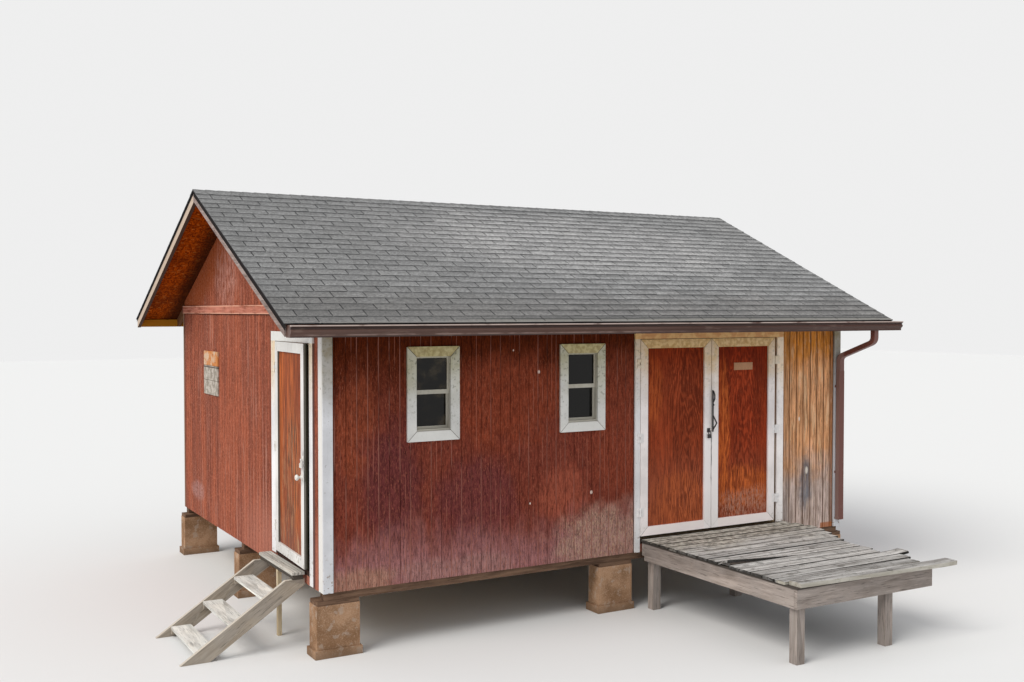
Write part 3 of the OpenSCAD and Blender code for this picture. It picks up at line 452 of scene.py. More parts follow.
def side_panel():
    p = Paint("side_leaf_stain", rough=0.65, specular=0.1)
    streak = p.grain("Z", 62, 3.0, 6, 0.72)
    fleck = p.grain("Z", 130, 20, 4, 0.68)
    broad = p.grain("Z", 12, 0.6, 3)
    p.colour = p.mix(p.ramp(broad, 0.4, 0.6), (0.2, 0.046, 0.016), (0.345, 0.086, 0.022))
    p.tone(p.ramp(streak, 0.35, 0.65), (0.5, 0.46, 0.46), (1.6, 1.6, 1.6))
    bare = p.blob(p.y, p.z, (-1.7, 1.45), (0.24, 0.75), 0.9) * p.ramp(streak, 0.55, 0.44)
    p.lay(bare * 0.85, (0.06, 0.034, 0.02))
    foot = p.ramp(p.z + (streak - 0.5) * 1.2, 1.15, 0.8)
    p.lay(foot * 0.8, (0.175, 0.062, 0.04))
    pale = p.ramp(p.grain("Z", 75, 4.0, 4), 0.54, 0.64) * p.ramp(p.z, 2.3, 1.6)
    p.lay(pale * 0.65, (0.55, 0.31, 0.165))
    p.lay(p.ramp(fleck, 0.44, 0.32) * 0.55, (0.05, 0.018, 0.01))
    p.lay(p.ramp(p.facing("Y"), -0.5, -0.9), (0.022, 0.02, 0.012))
    return p.finish(fleck + streak, depth=0.0018)


def white_paint(name, tint, full, gone, bright, specks, share=0.8, marks=None):
    """White paint with a stain that is full at one height and gone at another, specks and cracks.

    Marks adds what only this piece has.
    """
    p = Paint(name, rough=0.55, specular=0.3)
    level = p.z + (p.noise(5.0, 5) - 0.5) * 0.6
    fine = p.grain("Z", 110, 6, 5, 0.65)
    p.colour = p.mix(p.ramp(p.noise(2.4, 4), 0.35, 0.65), scaled(bright, 1.04), scaled(bright, 0.84))
    blotch = p.ramp(p.noise(9.0, 5), 0.4, 0.62)
    p.lay(p.ramp(level, gone, full) * (share - 0.25 + blotch * 0.25), tint)
    mildew = p.ramp(p.noise(38.0, 5), 0.55, 0.66) * p.ramp(level, gone - 0.3, full)
    p.lay(mildew * specks, (0.17, 0.165, 0.11))
    p.lay(p.ramp(p.noise(60.0, 4), 0.66, 0.71) * specks, (0.2, 0.19, 0.165))
    p.lay(p.ramp(fine, 0.37, 0.28) * 0.55, (0.24, 0.22, 0.19))
    peeled = p.ramp(p.noise(26.0, 5), 0.58, 0.63) * p.ramp(p.z, 0.95, 0.62)
    p.lay(peeled * 0.8, (0.25, 0.19, 0.14))
    if marks:
        marks(p)
    return p.finish(fine, depth=0.001, strength=0.35)


def window_marks(p):
    """The window casings: mildewed heads and dark mitres."""
    away = abs(abs(p.x - WINDOWS_X) - WINDOW_AWAY)
    side = CASING_HALF[0] - away
    end = CASING_HALF[1] - abs(p.z - WINDOW_Z)
    over = end - side
    head = p.ramp(over, 0.001, -0.001) * p.ramp(p.z, WINDOW_Z, WINDOW_Z + 0.01)
    moss = p.mix(p.ramp(p.noise(22.0, 5), 0.38, 0.62), (0.36, 0.265, 0.085), (0.58, 0.49, 0.23))
    p.lay(head * 0.8, moss)
    foot = p.ramp(over, 0.001, -0.001) * p.ramp(p.z, WINDOW_Z, WINDOW_Z - 0.01)
    p.lay(foot * 0.6, (0.74, 0.73, 0.7))
    joint = p.ramp(abs(over), 0.0065, 0.002)
    p.lay(joint * (0.6 + p.ramp(p.z, WINDOW_Z - 0.1, WINDOW_Z + 0.1) * 0.35), (0.1, 0.07, 0.04))


def corner_marks(p):
    """The corner boards: bare and brown on the edges towards the back."""
    edge = p.ramp(abs(p.facing("X")), 0.5, 0.9) * p.ramp(p.y, 2.3, 2.4)
    p.lay(edge * 0.9, (0.2, 0.11, 0.065))


def casing_marks(p):
    """The casings beside the doors: painted light on the casing at the right, and a red edge by the side
    door.
    """
    # Brighter at the right: painted light.
    p.tint(p.ramp(p.x, 2.0, 2.05), (1.22, 1.18, 1.15))
    edge = p.ramp(p.facing("Y"), -0.5, -0.9) * p.ramp(p.x, -3.0, -3.02)
    p.lay(edge * 0.9, (0.115, 0.034, 0.026))


def head_marks(p):
    """The casings over the doors: tan over the double doors with painted shade along its top, and white over
    the side door.
    """
    tan = p.mix(p.ramp(p.noise(12.0, 5), 0.42, 0.6), (0.62, 0.265, 0.055), (0.77, 0.44, 0.14))
    # Darker along the top: painted shade of the eave.
    tan = p.mix(p.ramp(p.z, 2.765, 2.78) * 0.7, tan, (0.2, 0.1, 0.03))
    p.lay(p.ramp(p.x, -3.0, -2.9) * 0.9, tan)


def rafter_wood(base):
    """Rafters, darker at their tails outside the walls and at the gable ends."""
    p = Paint("rafter_wood", rough=0.85)
    fine = p.grain("Y", 90, 4, 4)
    p.colour = p.mix(p.ramp(fine, 0.35, 0.65), scaled(base, 0.7), base)
    tail = p.ramp(abs(p.y), WALL_Y, WALL_Y + 0.02)
    gable_end = p.ramp(abs(p.x), WALL_X - 0.02, WALL_X)
    p.lay(p.math("MAXIMUM", tail, gable_end) * 0.9, (0.105, 0.036, 0.012))
    return p.finish(fine)


def leaf_marks(p):
    """The double doors: mitred rails, stained tops and a dark drip down the seam."""
    reach = p.math("MAXIMUM", *(half - abs(p.x - middle) for middle, half in LEAVES))
    down = LEAF_TOP - p.z
    up = p.z - LEAF_FOOT
    rail = p.ramp(down - reach, 0.001, -0.001) * p.ramp(down, RAIL + 0.002, RAIL - 0.002)
    moss = p.mix(p.ramp(p.noise(24.0, 5), 0.4, 0.62), (0.5, 0.285, 0.085), (0.72, 0.5, 0.23))
    p.lay(rail * 0.85, moss)
    kick = p.ramp(up - reach, 0.001, -0.001) * p.ramp(up, RAIL + 0.002, RAIL - 0.002)
    p.lay(kick * 0.95, (0.97, 0.88, 0.86))
    for edge in (down, up):
        joint = p.ramp(abs(edge - reach), 0.0035, 0.0015)
        p.lay(joint * (p.ramp(edge, RAIL + 0.004, RAIL) * 0.75), (0.1, 0.075, 0.045))
    seam = abs(p.x - LEAF_SEAM)
    lit = p.ramp(seam, 0.1, 0.09) * p.ramp(p.z, 1.85, 1.65)
    p.lay(lit * 0.75, (0.95, 0.91, 0.9))
    ragged = p.grain("Z", 90, 7, 3) * 0.03
    drip = p.ramp(seam + ragged, 0.023, 0.013) * p.within(p.z, 1.26, 1.66, 0.12)
    p.lay(drip * 0.9, (0.03, 0.028, 0.026))
    grey = p.ramp(seam + ragged, 0.06, 0.02) * p.within(p.z, 1.8, 2.2, 0.2)
    p.lay(grey * 0.3, (0.26, 0.23, 0.18))


def side_marks(p):
    """The side door: dark on its edge towards the front, with a few marks and cracks."""
    marks = p.within(p.y, -2.15, -2.09, 0.02) * p.within(p.z, 1.5, 1.72, 0.06)
    p.lay(marks * p.ramp(p.grain("Z", 80, 9, 4), 0.5, 0.58), (0.07, 0.055, 0.05))
    p.lay(p.ramp(p.facing("Y"), -0.5, -0.9) * 0.9, (0.045, 0.04, 0.024))
    cracks = p.ramp(p.grain("Z", 60, 1.5, 4), 0.6, 0.66) * 0.4
    p.lay(cracks, (0.22, 0.2, 0.17))


def shingle(name, dark, light):
    """Mineral granules, with a painted shadow line under each course's butt, painted light and shade in bands
    across the courses, and a painted patch of sunlight.
    """
    p = Paint(name, rough=0.9, specular=0.15)
    down = abs(p.y) * PLUMB
    phase = p.math("FRACT", (SLOPE_LENGTH + BUTT_OUT + 10 * COURSE - down) / COURSE)
    grit = p.noise(430.0, 2)
    mottle = p.noise(36.0, 5, rough=0.65)
    p.colour = p.mix(p.island(), dark, light)
    tone = p.noise(1.0, 3, p.stretch(1.0, 0.4, 0.4))
    p.tint(p.ramp(tone, 0.35, 0.7), (1.14, 1.13, 1.12))
    # A pale patch: painted sunlight.
    pale = p.blob(p.x, p.y, (0.6, -1.1), (2.4, 0.9), 0.9)
    p.tint(pale * 0.85, (1.48, 1.46, 1.45))
    p.tint(p.ramp(p.x, -0.4, -2.4) * 0.6, (0.8, 0.8, 0.79))
    eave = p.ramp(abs(p.y) + (p.noise(2.5, 4) - 0.5) * 0.7, 2.15, 2.6)
    p.tint(eave * 0.85, (0.68, 0.655, 0.635))
    # Lighter low on each tab and darker under the next butt: painted light and shade.
    dashes = phase + (p.noise(1.0, 4, p.stretch(5.0, 14.0, 14.0)) - 0.5) * 1.1
    bands = p.mix(p.ramp(dashes, 0.85, 0.25), (0.62, 0.62, 0.62), (1.46, 1.45, 1.44))
    p.tint(0.3 + p.ramp(p.x, -2.0, 0.2) * 0.5, bands)
    p.tone(p.ramp(mottle, 0.35, 0.65), (0.68, 0.68, 0.68), (1.32, 1.32, 1.32))
    stain = p.ramp(p.grain("Y", 6, 0.7, 4), 0.55, 0.72)
    p.lay(stain * 0.3, (0.11, 0.108, 0.106))
    # A dark line at each butt: painted shadow.
    edge = p.math("MAXIMUM", p.ramp(phase, 0.045, 0.025), p.ramp(phase, 0.95, 0.975))
    broken = p.ramp(p.noise(9.0, 4), 0.35, 0.6)
    p.lay(edge * (0.25 + broken * 0.5), (0.04, 0.04, 0.042))
    wander = abs(p.y) + (p.noise(1.0, 3, p.stretch(1.6, 0.1, 0.1)) - 0.5) * 0.03
    show = p.ramp(p.x, -2.4, -1.2) * p.ramp(p.y, 0.1, -0.1)
    p.lay(p.ramp(wander, EAVE_Y - 0.045, EAVE_Y - 0.038) * (show * 0.8), (0.215, 0.205, 0.18))
    p.lay(p.within(wander, EAVE_Y - 0.07, EAVE_Y - 0.045, 0.005) * (show * 0.85), (0.03, 0.029, 0.028))
    p.colour = p.mix(p.ramp(grit, 0.3, 0.7), p.mix(0.4, p.colour, (0.03, 0.03, 0.03)),
                     p.mix(0.15, p.colour, (0.6, 0.6, 0.6)))
    return p.finish(grit + mottle, depth=0.0015)


def plain_grit(name, colour, scale=300.0):
    p = Paint(name, rough=0.9, specular=0.15)
    grit = p.noise(scale, 3)
    p.colour = p.mix(p.noise(7.0, 4), scaled(colour, 0.75), scaled(colour, 1.25))
    p.lay(p.ramp(grit, 0.55, 0.7) * 0.35, scaled(colour, 1.8))
    return p.finish(grit, depth=0.001, strength=0.4)


def strand_board():
    p = Paint("strand_board", rough=0.85, specular=0.02)
    a = p.flakes(30.0, p.stretch(1.0, 2.2, 1.0))
    b = p.flakes(34.0, p.stretch(2.4, 0.9, 0.9))
    flake = p.mix(p.ramp(b[1], 0.4, 0.6), a[0], b[0])
    p.colour = p.mix(p.ramp(flake, 0.2, 0.9), (0.17, 0.024, 0.0), (0.43, 0.075, 0.002))
    p.lay(p.ramp(p.noise(2.2, 4), 0.45, 0.62) * 0.4, (0.072, 0.013, 0.002))
    p.lay(p.ramp(a[1], 0.95, 0.98) * 0.4, (0.6, 0.24, 0.06))
    # Darker towards the walls: painted shade where the deck meets them.
    inner = p.ramp(abs(p.x), 3.3, 3.08)
    p.lay(inner * 0.85, (0.018, 0.006, 0.003))
    return p.finish(flake, depth=0.001, strength=0.3)


def board_grain(p, axis, shift):
    """The broad and the fine grain of boards that run along one axis."""
    return p.grain(axis, 21.0, 2.0, 4, shift=shift), p.grain(axis, 120.0, 6.0, 4, 0.65, shift)


def lumber(name, axis, dark, light, grey=None, greyed=0.0, marks=None, turn=None, crossed=False):
    """Sawn boards whose grain runs along one axis, each a little different.

    Marks adds what only these boards have, turn follows a slope, and crossed gives the faces
    towards X a grain along Y.
    """
    p = Paint(name, rough=0.85)
    if turn:
        p.place = p.turned(turn)
    shift = p.island_shift()
    broad, fine = board_grain(p, axis, shift)
    if crossed:
        side = p.ramp(abs(p.facing("X")), 0.4, 0.6)
        broad, fine = ((1.0 - side) * a + side * b
                       for a, b in zip((broad, fine), board_grain(p, "Y", shift)))
    p.colour = p.mix(p.ramp(broad, 0.3, 0.7), dark, light)
    p.tone(p.island(), (0.82, 0.82, 0.82), (1.12, 1.12, 1.12))
    if grey:
        p.lay(p.ramp(p.noise(3.0, 4, p.stretch(1, 1, 1, shift)), 0.3, 0.65) * greyed, grey)
    p.lay(p.ramp(fine, 0.45, 0.3) * 0.8, scaled(dark, 0.35))
    p.lay(p.ramp(fine, 0.57, 0.7) * 0.35, scaled(light, 1.5))
    if marks:
        marks(p)
    return p.finish(fine + broad * 0.6)


def barge_marks(p):
    """The board of the far slope paler on its faces, and painted shade on both boards' undersides."""
    pale = p.ramp(p.y, 0.0, 0.05) * p.ramp(abs(p.facing("X")), 0.5, 0.9)
    p.lay(pale * 0.7, (0.6, 0.47, 0.36))
    # Dark underneath: painted shade.
    p.lay(p.ramp(p.facing("Z"), -0.3, -0.7) * 0.9, (0.055, 0.03, 0.02))


def stringer_marks(p):
    """The stringers' tops pale, and painted shade in a dark line under their heads."""
    p.lay(p.ramp(p.facing("Z"), 0.3, 0.7) * 0.55, (0.66, 0.61, 0.53))
    # A dark line under the heads: painted shade.
    head_shade = p.within(p.x, -3.18, -3.083, 0.002) * p.within(p.z, 0.61, 0.655, 0.003)
    p.lay(head_shade * 0.85, (0.03, 0.025, 0.022))


def skirt_top_shade(p):
    """Painted shade in a dark edge under the landing's boards."""
    p.lay(p.ramp(p.z, 0.64, 0.652) * 0.85, (0.03, 0.025, 0.021))


def fascia_marks(p):
    """The faces towards the inside still the colour of new wood."""
    p.lay(p.ramp(p.facing("Y") * p.y, -1.0, -2.0) * 0.9, (0.48, 0.2, 0.012))


def tread_marks(p):
    """The lower treads bright, and dirt in stripes on the top one."""
    stripe = p.math("FRACT", (p.x + (10 * STRIPE_PITCH - TREAD_X)) / STRIPE_PITCH)
    p.tint(p.ramp(p.z, 0.62, 0.58), (1.4, 1.45, 1.5))
    top = p.ramp(p.z, 0.65, 0.655) * p.ramp(abs(stripe - 0.5), 0.38, 0.46)
    p.lay(top * 0.75, (0.065, 0.062, 0.06))


def landing_wood():
    """Grey boards, browner and mossier near the wall, with painted shade along their seams and sides."""
    p = Paint("landing_wood", rough=0.9)
    shift = p.island_shift()
    broad = p.grain("X", 24, 1.2, 5, shift=shift)
    fine = p.grain("X", 130, 6, 4, 0.65, shift=shift)
    p.colour = p.mix(p.ramp(broad, 0.32, 0.68), (0.245, 0.23, 0.218), (0.57, 0.555, 0.54))
    p.tone(p.island(), (0.76, 0.76, 0.76), (1.2, 1.2, 1.2))
    near = p.y + (p.noise(1.9, 4) - 0.5) * 1.3
    mossy = p.mix(p.ramp(p.noise(16.0, 5), 0.38, 0.6), (0.205, 0.182, 0.148), (0.56, 0.525, 0.455))
    p.lay(p.ramp(near, -3.45, -2.7) * 0.8, mossy)
    p.lay(p.ramp(fine, 0.47, 0.34) * 0.8, (0.05, 0.046, 0.04))
    blotch = p.ramp(p.noise(9.0, 5), 0.56, 0.66)
    p.lay(blotch * 0.55, (0.075, 0.068, 0.058))
    p.lay(p.ramp(p.noise(40.0, 4), 0.64, 0.7) * 0.75, (0.05, 0.036, 0.026))
    p.lay(p.ramp(fine, 0.6, 0.7) * 0.35, (0.62, 0.6, 0.56))
    # Dark lines along the seams between boards: painted shade.
    row = p.math("FRACT", (p.y + (100 * LANDING_PITCH - LANDING_BACK)) / LANDING_PITCH)
    ragged = (p.grain("X", 20, 5, 4) - 0.5) * 0.1
    seam = p.ramp(abs(row + ragged - 0.5), 0.4, 0.47)
    flat = p.ramp(p.y, FRONT_BOARD_Y, FRONT_BOARD_Y + 0.02)
    p.lay(seam * flat * 0.85, (0.03, 0.028, 0.024))
    # The boards' sides dark: painted shade.
    p.lay(p.ramp(p.facing("Z"), 0.3, 0.0) * (flat * 0.9), (0.022, 0.02, 0.018))
    lip = p.ramp(p.facing("Z"), 0.5, 0.2) * p.ramp(p.y, FRONT_BOARD_Y + 0.02, FRONT_BOARD_Y - 0.02)
    p.lay(lip * 0.5, (0.5, 0.46, 0.37))
    return p.finish(fine + broad, depth=0.004, strength=0.7)


def block_work():
    p = Paint("block_work", rough=0.95)
    grit = p.noise(110.0, 5, rough=0.7)
    p.colour = p.mix(p.ramp(p.noise(4.0, 5), 0.35, 0.65), (0.235, 0.13, 0.07), (0.42, 0.255, 0.155))
    p.lay(p.ramp(grit, 0.52, 0.66) * 0.5, (0.56, 0.41, 0.3))
    p.lay(p.ramp(grit, 0.44, 0.32) * 0.6, (0.12, 0.07, 0.042))
    p.lay(p.ramp(p.noise(14.0, 4), 0.56, 0.64) * 0.4, (0.45, 0.38, 0.32))
    p.lay(p.ramp(p.z, 0.12, 0.0) * 0.6, (0.16, 0.11, 0.075))
    return p.finish(grit, depth=0.004, strength=0.6)


def brown_metal():
    p = Paint("brown_enamel", rough=0.45, specular=0.4)
    wear_and_highlight = p.noise(16.0, 5, p.stretch(0.3, 1, 1))
    p.colour = p.mix(p.noise(3.0, 4), (0.07, 0.036, 0.027), (0.116, 0.057, 0.042))
    p.lay(p.ramp(p.x, 0.8, 2.6) * 0.4, (0.165, 0.058, 0.043))
    front = p.ramp(p.y, GUTTER_FACE_Y, GUTTER_FACE_Y - 0.005) * p.ramp(p.z, 2.755, 2.76)
    # A dark band under the lip: painted shade in the hollow.
    dark = p.within(p.z, *GUTTER_HOLLOW, 0.004)
    p.lay(dark * front * 0.75, (0.022, 0.012, 0.011))
    # A light line along the lip: worn paint and painted highlight.
    lip = p.ramp(p.z, GUTTER_LIP, GUTTER_LIP + 0.004) * p.ramp(wear_and_highlight, 0.3, 0.5)
    p.lay(lip * front * 0.9, (0.54, 0.43, 0.385))
    # A light line along the foot: painted highlight, broken by wear.
    foot = p.within(p.z, *GUTTER_FOOT, 0.003) * p.ramp(wear_and_highlight, 0.36, 0.56)
    p.lay(foot * front * 0.7, (0.28, 0.19, 0.16))
    # Dark under the foot: painted shade.
    base = p.ramp(p.z, GUTTER_FOOT[0] - 0.002, GUTTER_FOOT[0] - 0.008) * front
    p.lay(base * 0.7, (0.022, 0.012, 0.01))
    shade = p.ramp(p.x, -0.2, 0.8) * p.ramp(p.z, 2.83, 2.82) * front
    p.lay(shade * 0.85, (0.045, 0.012, 0.005))
    fall = p.within(p.x, 2.9, 3.2, 0.004) * p.ramp(p.z, 2.76, 2.75)
    p.lay(fall * 0.75, (0.15, 0.045, 0.032))
    # The downspout's side towards -X lighter: painted highlight.
    pipe = p.within(p.x, 2.9, 2.985, 0.004) * p.ramp(p.z, 2.7, 2.69)
    p.lay(pipe * p.ramp(p.facing("X"), -0.3, -0.8) * 0.6, (0.3, 0.21, 0.19))
    p.lay(p.ramp(wear_and_highlight, 0.6, 0.72) * 0.3, (0.22, 0.15, 0.12))
    return p.finish(wear_and_highlight, depth=0.0008, strength=0.3)


def painted_iron(name, colour, rust, amount, rough=0.5, specular=0.45):
    p = Paint(name, rough=rough, specular=specular)
    pattern = p.noise(60.0, 5)
    p.colour = p.mix(p.ramp(pattern, 0.5, 0.7) * amount, colour, rust)
    return p.finish(pattern, depth=0.0006, strength=0.4)


def leaf_hardware():
    """Hinges painted over with the doors, and a black pull and lock by the seam."""
    p = Paint("leaf_hardware_paint", rough=0.5, specular=0.45)
    pattern = p.noise(60.0, 5)
    black = p.mix(p.ramp(pattern, 0.5, 0.66) * 0.5, (0.02, 0.02, 0.022), (0.13, 0.075, 0.05))
    white = p.mix(p.ramp(pattern, 0.5, 0.66) * 0.12, (0.8, 0.775, 0.77), (0.24, 0.15, 0.09))
    white = p.mix(p.ramp(p.z, 2.1, 2.6) * 0.85, white, (0.68, 0.52, 0.3))
    p.colour = p.mix(p.ramp(abs(p.x - LEAF_SEAM - 0.003), 0.2, 0.3), black, white)
    return p.finish(pattern, depth=0.0006, strength=0.4)


def glass():
    p = Paint("window_pane", rough=0.06, specular=0.1)
    p.shader.inputs["Transmission Weight"].default_value = 0.3
    pane_noise = p.noise(1.0, 4, p.stretch(6.0, 6.0, 8.0))
    # Brownish on the left window's panes: dust and painted reflection.
    dust_and_reflection = p.ramp(pane_noise, 0.46, 0.7) * p.ramp(p.x, -1.2, -1.3)
    p.colour = p.mix(dust_and_reflection * 0.7, (0.01, 0.009, 0.008), (0.085, 0.066, 0.04))
    return p.finish()


def sign_wood():
    p = Paint("sign_wood", rough=0.85)
    fine = p.grain("Y", 110, 8, 4)
    grey = p.mix(p.ramp(p.noise(14.0, 4), 0.4, 0.6), (0.28, 0.245, 0.205), (0.48, 0.43, 0.375))
    tan = p.mix(p.ramp(p.noise(9.0, 3), 0.4, 0.6), (0.52, 0.2, 0.065), (0.56, 0.4, 0.28))
    p.colour = p.mix(p.ramp(p.z, SIGN_TOP, SIGN_TOP + 0.005), grey, tan)
    p.lay(p.ramp(fine, 0.43, 0.33) * 0.5, (0.13, 0.105, 0.085))
    joint = p.within(p.z, SIGN_JOINT - 0.01, SIGN_JOINT + 0.002, 0.004)
    p.lay(joint * 0.8, (0.055, 0.045, 0.04))
    return p.finish(fine, depth=0.001, strength=0.4)


def paint_nodes(names, material):
    """Give the CAD nodes of these names one material."""
    for name in names.split():
        for material_slot in nodes[name].material_slots:
            material_slot.material = material


TABS = shingle("shingle_granules", (0.182, 0.183, 0.186), (0.238, 0.239, 0.242))
EAVE_EDGE = plain_grit("eave_edge", (0.24, 0.23, 0.22), 120.0)
SKIRT_TONES = ((0.205, 0.17, 0.147), (0.375, 0.318, 0.283), (0.32, 0.285, 0.265), 0.5)
LANDING = landing_wood()
DRIP_METAL = painted_iron("drip_strip", (0.014, 0.012, 0.012), (0.05, 0.038, 0.032), 0.3, 0.85, 0.05)
PLATE_WOOD = plain_grit("bare_plate", (0.42, 0.225, 0.125), 60.0)

paint_nodes("pier_pads pier_lower_blocks pier_upper_blocks", block_work())
paint_nodes("pier_shims floor_beams", lumber("dark_lumber", "X", (0.085, 0.05, 0.034), (0.19, 0.115, 0.075)))
paint_nodes("floor_joists", lumber("framing_short", "Y", (0.36, 0.25, 0.14), (0.52, 0.38, 0.23)))
paint_nodes("rafters", rafter_wood((0.5, 0.36, 0.21)))
paint_nodes("floor_rims floor_deck sole_plates headers_and_sills top_plates ridge_board",
            lumber("framing_long", "X", (0.4, 0.28, 0.15), (0.58, 0.43, 0.26)))
paint_nodes("wall_studs", lumber("framing_upright", "Z", (0.42, 0.29, 0.15), (0.6, 0.45, 0.27)))
paint_nodes("siding_front_left siding_back", red_front())
paint_nodes("siding_left siding_right gable_siding gable_bands siding_at_doors", red_gable())
paint_nodes("siding_front_right", bare_siding())
paint_nodes("roof_deck_front roof_deck_back", strand_board())
paint_nodes("shingles_front shingles_back", plain_grit("shingle_underlayer", (0.03, 0.03, 0.032)))
paint_nodes("ridge_shingles", TABS)
paint_nodes("fascia_boards",
            lumber("fascia_wood", "X", (0.07, 0.04, 0.025), (0.16, 0.1, 0.065), marks=fascia_marks))
paint_nodes("barge_boards",
            lumber("barge_wood", "Y", (0.165, 0.115, 0.098), (0.36, 0.285, 0.26), (0.33, 0.285, 0.27), 0.35,
                   barge_marks))
paint_nodes("corner_boards",
            white_paint("white_paint_corners", (0.24, 0.185, 0.07), 2.9, 1.9, (0.68, 0.685, 0.715), 0.5, 0.95,
                        corner_marks))
paint_nodes("door_side_casings",
            white_paint("white_paint_casings", (0.68, 0.5, 0.28), 2.75, 1.9, (0.78, 0.765, 0.77), 0.45, 0.95,
                        casing_marks))
paint_nodes("door_head_casings",
            white_paint("head_casing_paint", (0.7, 0.69, 0.66), 2.7, 2.1, (0.7, 0.69, 0.66), 0.15,
                        marks=head_marks))
paint_nodes("window_casings",
            white_paint("white_paint_windows", (0.42, 0.39, 0.235), 2.62, 2.02, (0.7, 0.69, 0.66), 0.75, 0.9,
                        window_marks))
paint_nodes("window_frames window_sashes",
            white_paint("sash_paint", (0.42, 0.38, 0.28), 2.6, 2.1, (0.5, 0.47, 0.4), 0.45))
paint_nodes("gutter_back gutter_floor gutter_front gutter_ends downspout", brown_metal())
paint_nodes("window_glass", glass())
paint_nodes("step_stringers",
            lumber("step_wood", "X", (0.26, 0.215, 0.165), (0.44, 0.375, 0.3), (0.36, 0.33, 0.3), 0.5,
                   stringer_marks, turn=STEP_TURN))
paint_nodes("step_treads",
            lumber("tread_wood", "Y", (0.32, 0.295, 0.26), (0.6, 0.56, 0.5), (0.5, 0.49, 0.46), 0.5,
                   tread_marks))
paint_nodes("step_post", lumber("post_wood", "Z", (0.45, 0.35, 0.22), (0.66, 0.54, 0.37)))
paint_nodes("landing_frame", lumber("skirt_wood", "X", *SKIRT_TONES, skirt_top_shade, crossed=True))
paint_nodes("landing_posts", lumber("landing_post_wood", "Z", *SKIRT_TONES))
paint_nodes("landing_boards", LANDING)
paint_nodes("sign_boards", sign_wood())
paint_nodes("side_door_hardware",
            painted_iron("painted_hinges", (0.7, 0.685, 0.65), (0.25, 0.14, 0.08), 0.4))
paint_nodes("hinge_jamb_plates left_leaf_hardware right_leaf_hardware", leaf_hardware())
paint_nodes("left_leaf_frame right_leaf_frame",
            white_paint("white_paint_doors", (0.64, 0.44, 0.215), 2.66, 2.0, (0.9, 0.835, 0.82), 0.35, 0.95,
                        leaf_marks))
paint_nodes("side_door_frame",
            white_paint("white_paint_side", (0.6, 0.58, 0.52), 3.1, 2.3, (0.72, 0.705, 0.68), 0.12, 0.5,
                        side_marks))
paint_nodes("left_leaf_panel",
            door_panel("left_leaf_stain", (0.3, 0.08, 0.04), (0.272, 0.047, 0.016), (0.88, 1.25),
                       (((0.8, 1.0), (0.45, 0.34), 0.35), ((0.45, 2.2), (0.12, 0.4), 0.4)), 0.0))
paint_nodes("right_leaf_panel",
            door_panel("right_leaf_stain", (0.255, 0.058, 0.026), (0.262, 0.035, 0.01), (1.62, 0.8),
                       (((1.62, 1.1), (0.48, 0.26), 0.75), ((1.36, 1.75), (0.1, 0.8), 0.85)), 1.0))
paint_nodes("side_door_panel", side_panel())


# Meshes

class Solids:
    """Closed solids that are joined into one mesh."""

    def __init__(self):
        self.points = []
        self.faces = []

    def loft(self, rings):
        """A solid through rings of points, each turned the same way, with flat ends."""
        base = len(self.points)
        count = len(rings[0])
        for ring in rings:
            self.points.extend(ring)
        for i in range(len(rings) - 1):
            for j in range(count):
                k = (j + 1) % count
                a = base + i * count
                b = a + count
                self.faces.append((a + j, a + k, b + k, b + j))
        self.faces.append(tuple(base + j for j in reversed(range(count))))
        last = base + (len(rings) - 1) * count
        self.faces.append(tuple(last + j for j in range(count)))

    def box(self, lo, hi):
        x0, y0, z0 = lo
        x1, y1, z1 = hi
        self.loft([[(x0, y0, z), (x1, y0, z), (x1, y1, z), (x0, y1, z)] for z in (z0, z1)])

    def mesh(self, name):
        mesh = bpy.data.meshes.new(name)
        mesh.from_pydata(self.points, [], self.faces)
        return mesh

    def make(self, name, material, slot, body="building"):
        mesh = self.mesh(name)
        mesh.materials.append(material)
        mesh.validate()
        mesh.update()
        return place(name, mesh, body, slot)


def add_to_scene(name, data):
    thing = bpy.data.objects.new(name, data)
    bpy.context.scene.collection.objects.link(thing)
    return thing


def place(name, mesh, body, slot):
    thing = add_to_scene(name, mesh)
    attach(thing, body)
    return thing


# Grooves, cut into copies of the siding

CUT_OUT = 0.01
CUT_FOOT = 0.3
CUT_TOP = 4.4
CUT_LOW_TOP = 3.3


def groove_cutters():
    """One object with a bar for each groove, a little proud of the walls."""
    bars = Solids()
    half = GROOVE_W / 2
    for i in range(1, 60):
        for start, low, high, side in ((FRONT_START, -WALL_X, DOORS_X1, -1),
                                       (BARE_START, DOORS_X1, WALL_X, -1),
                                       (FRONT_START, -WALL_X, WALL_X, 1)):
            x = start + (i - 1) * GROOVE_PITCH
            if low + half < x < high - half:
                y0, y1 = sorted((side * (WALL_Y + CUT_OUT), side * (WALL_Y - GROOVE_D)))
                bars.box((x - half, y0, CUT_FOOT), (x + half, y1, CUT_LOW_TOP))
        y = GABLE_START + i * GROOVE_PITCH
        if y < WALL_Y - half:
            for side in (-1, 1):
                x0, x1 = sorted((side * (WALL_X + CUT_OUT), side * (WALL_X - GROOVE_D)))
                bars.box((x0, y - half, CUT_FOOT), (x1, y + half, CUT_TOP))
    return add_to_scene("groove_cutters", bars.mesh("groove_cutters"))


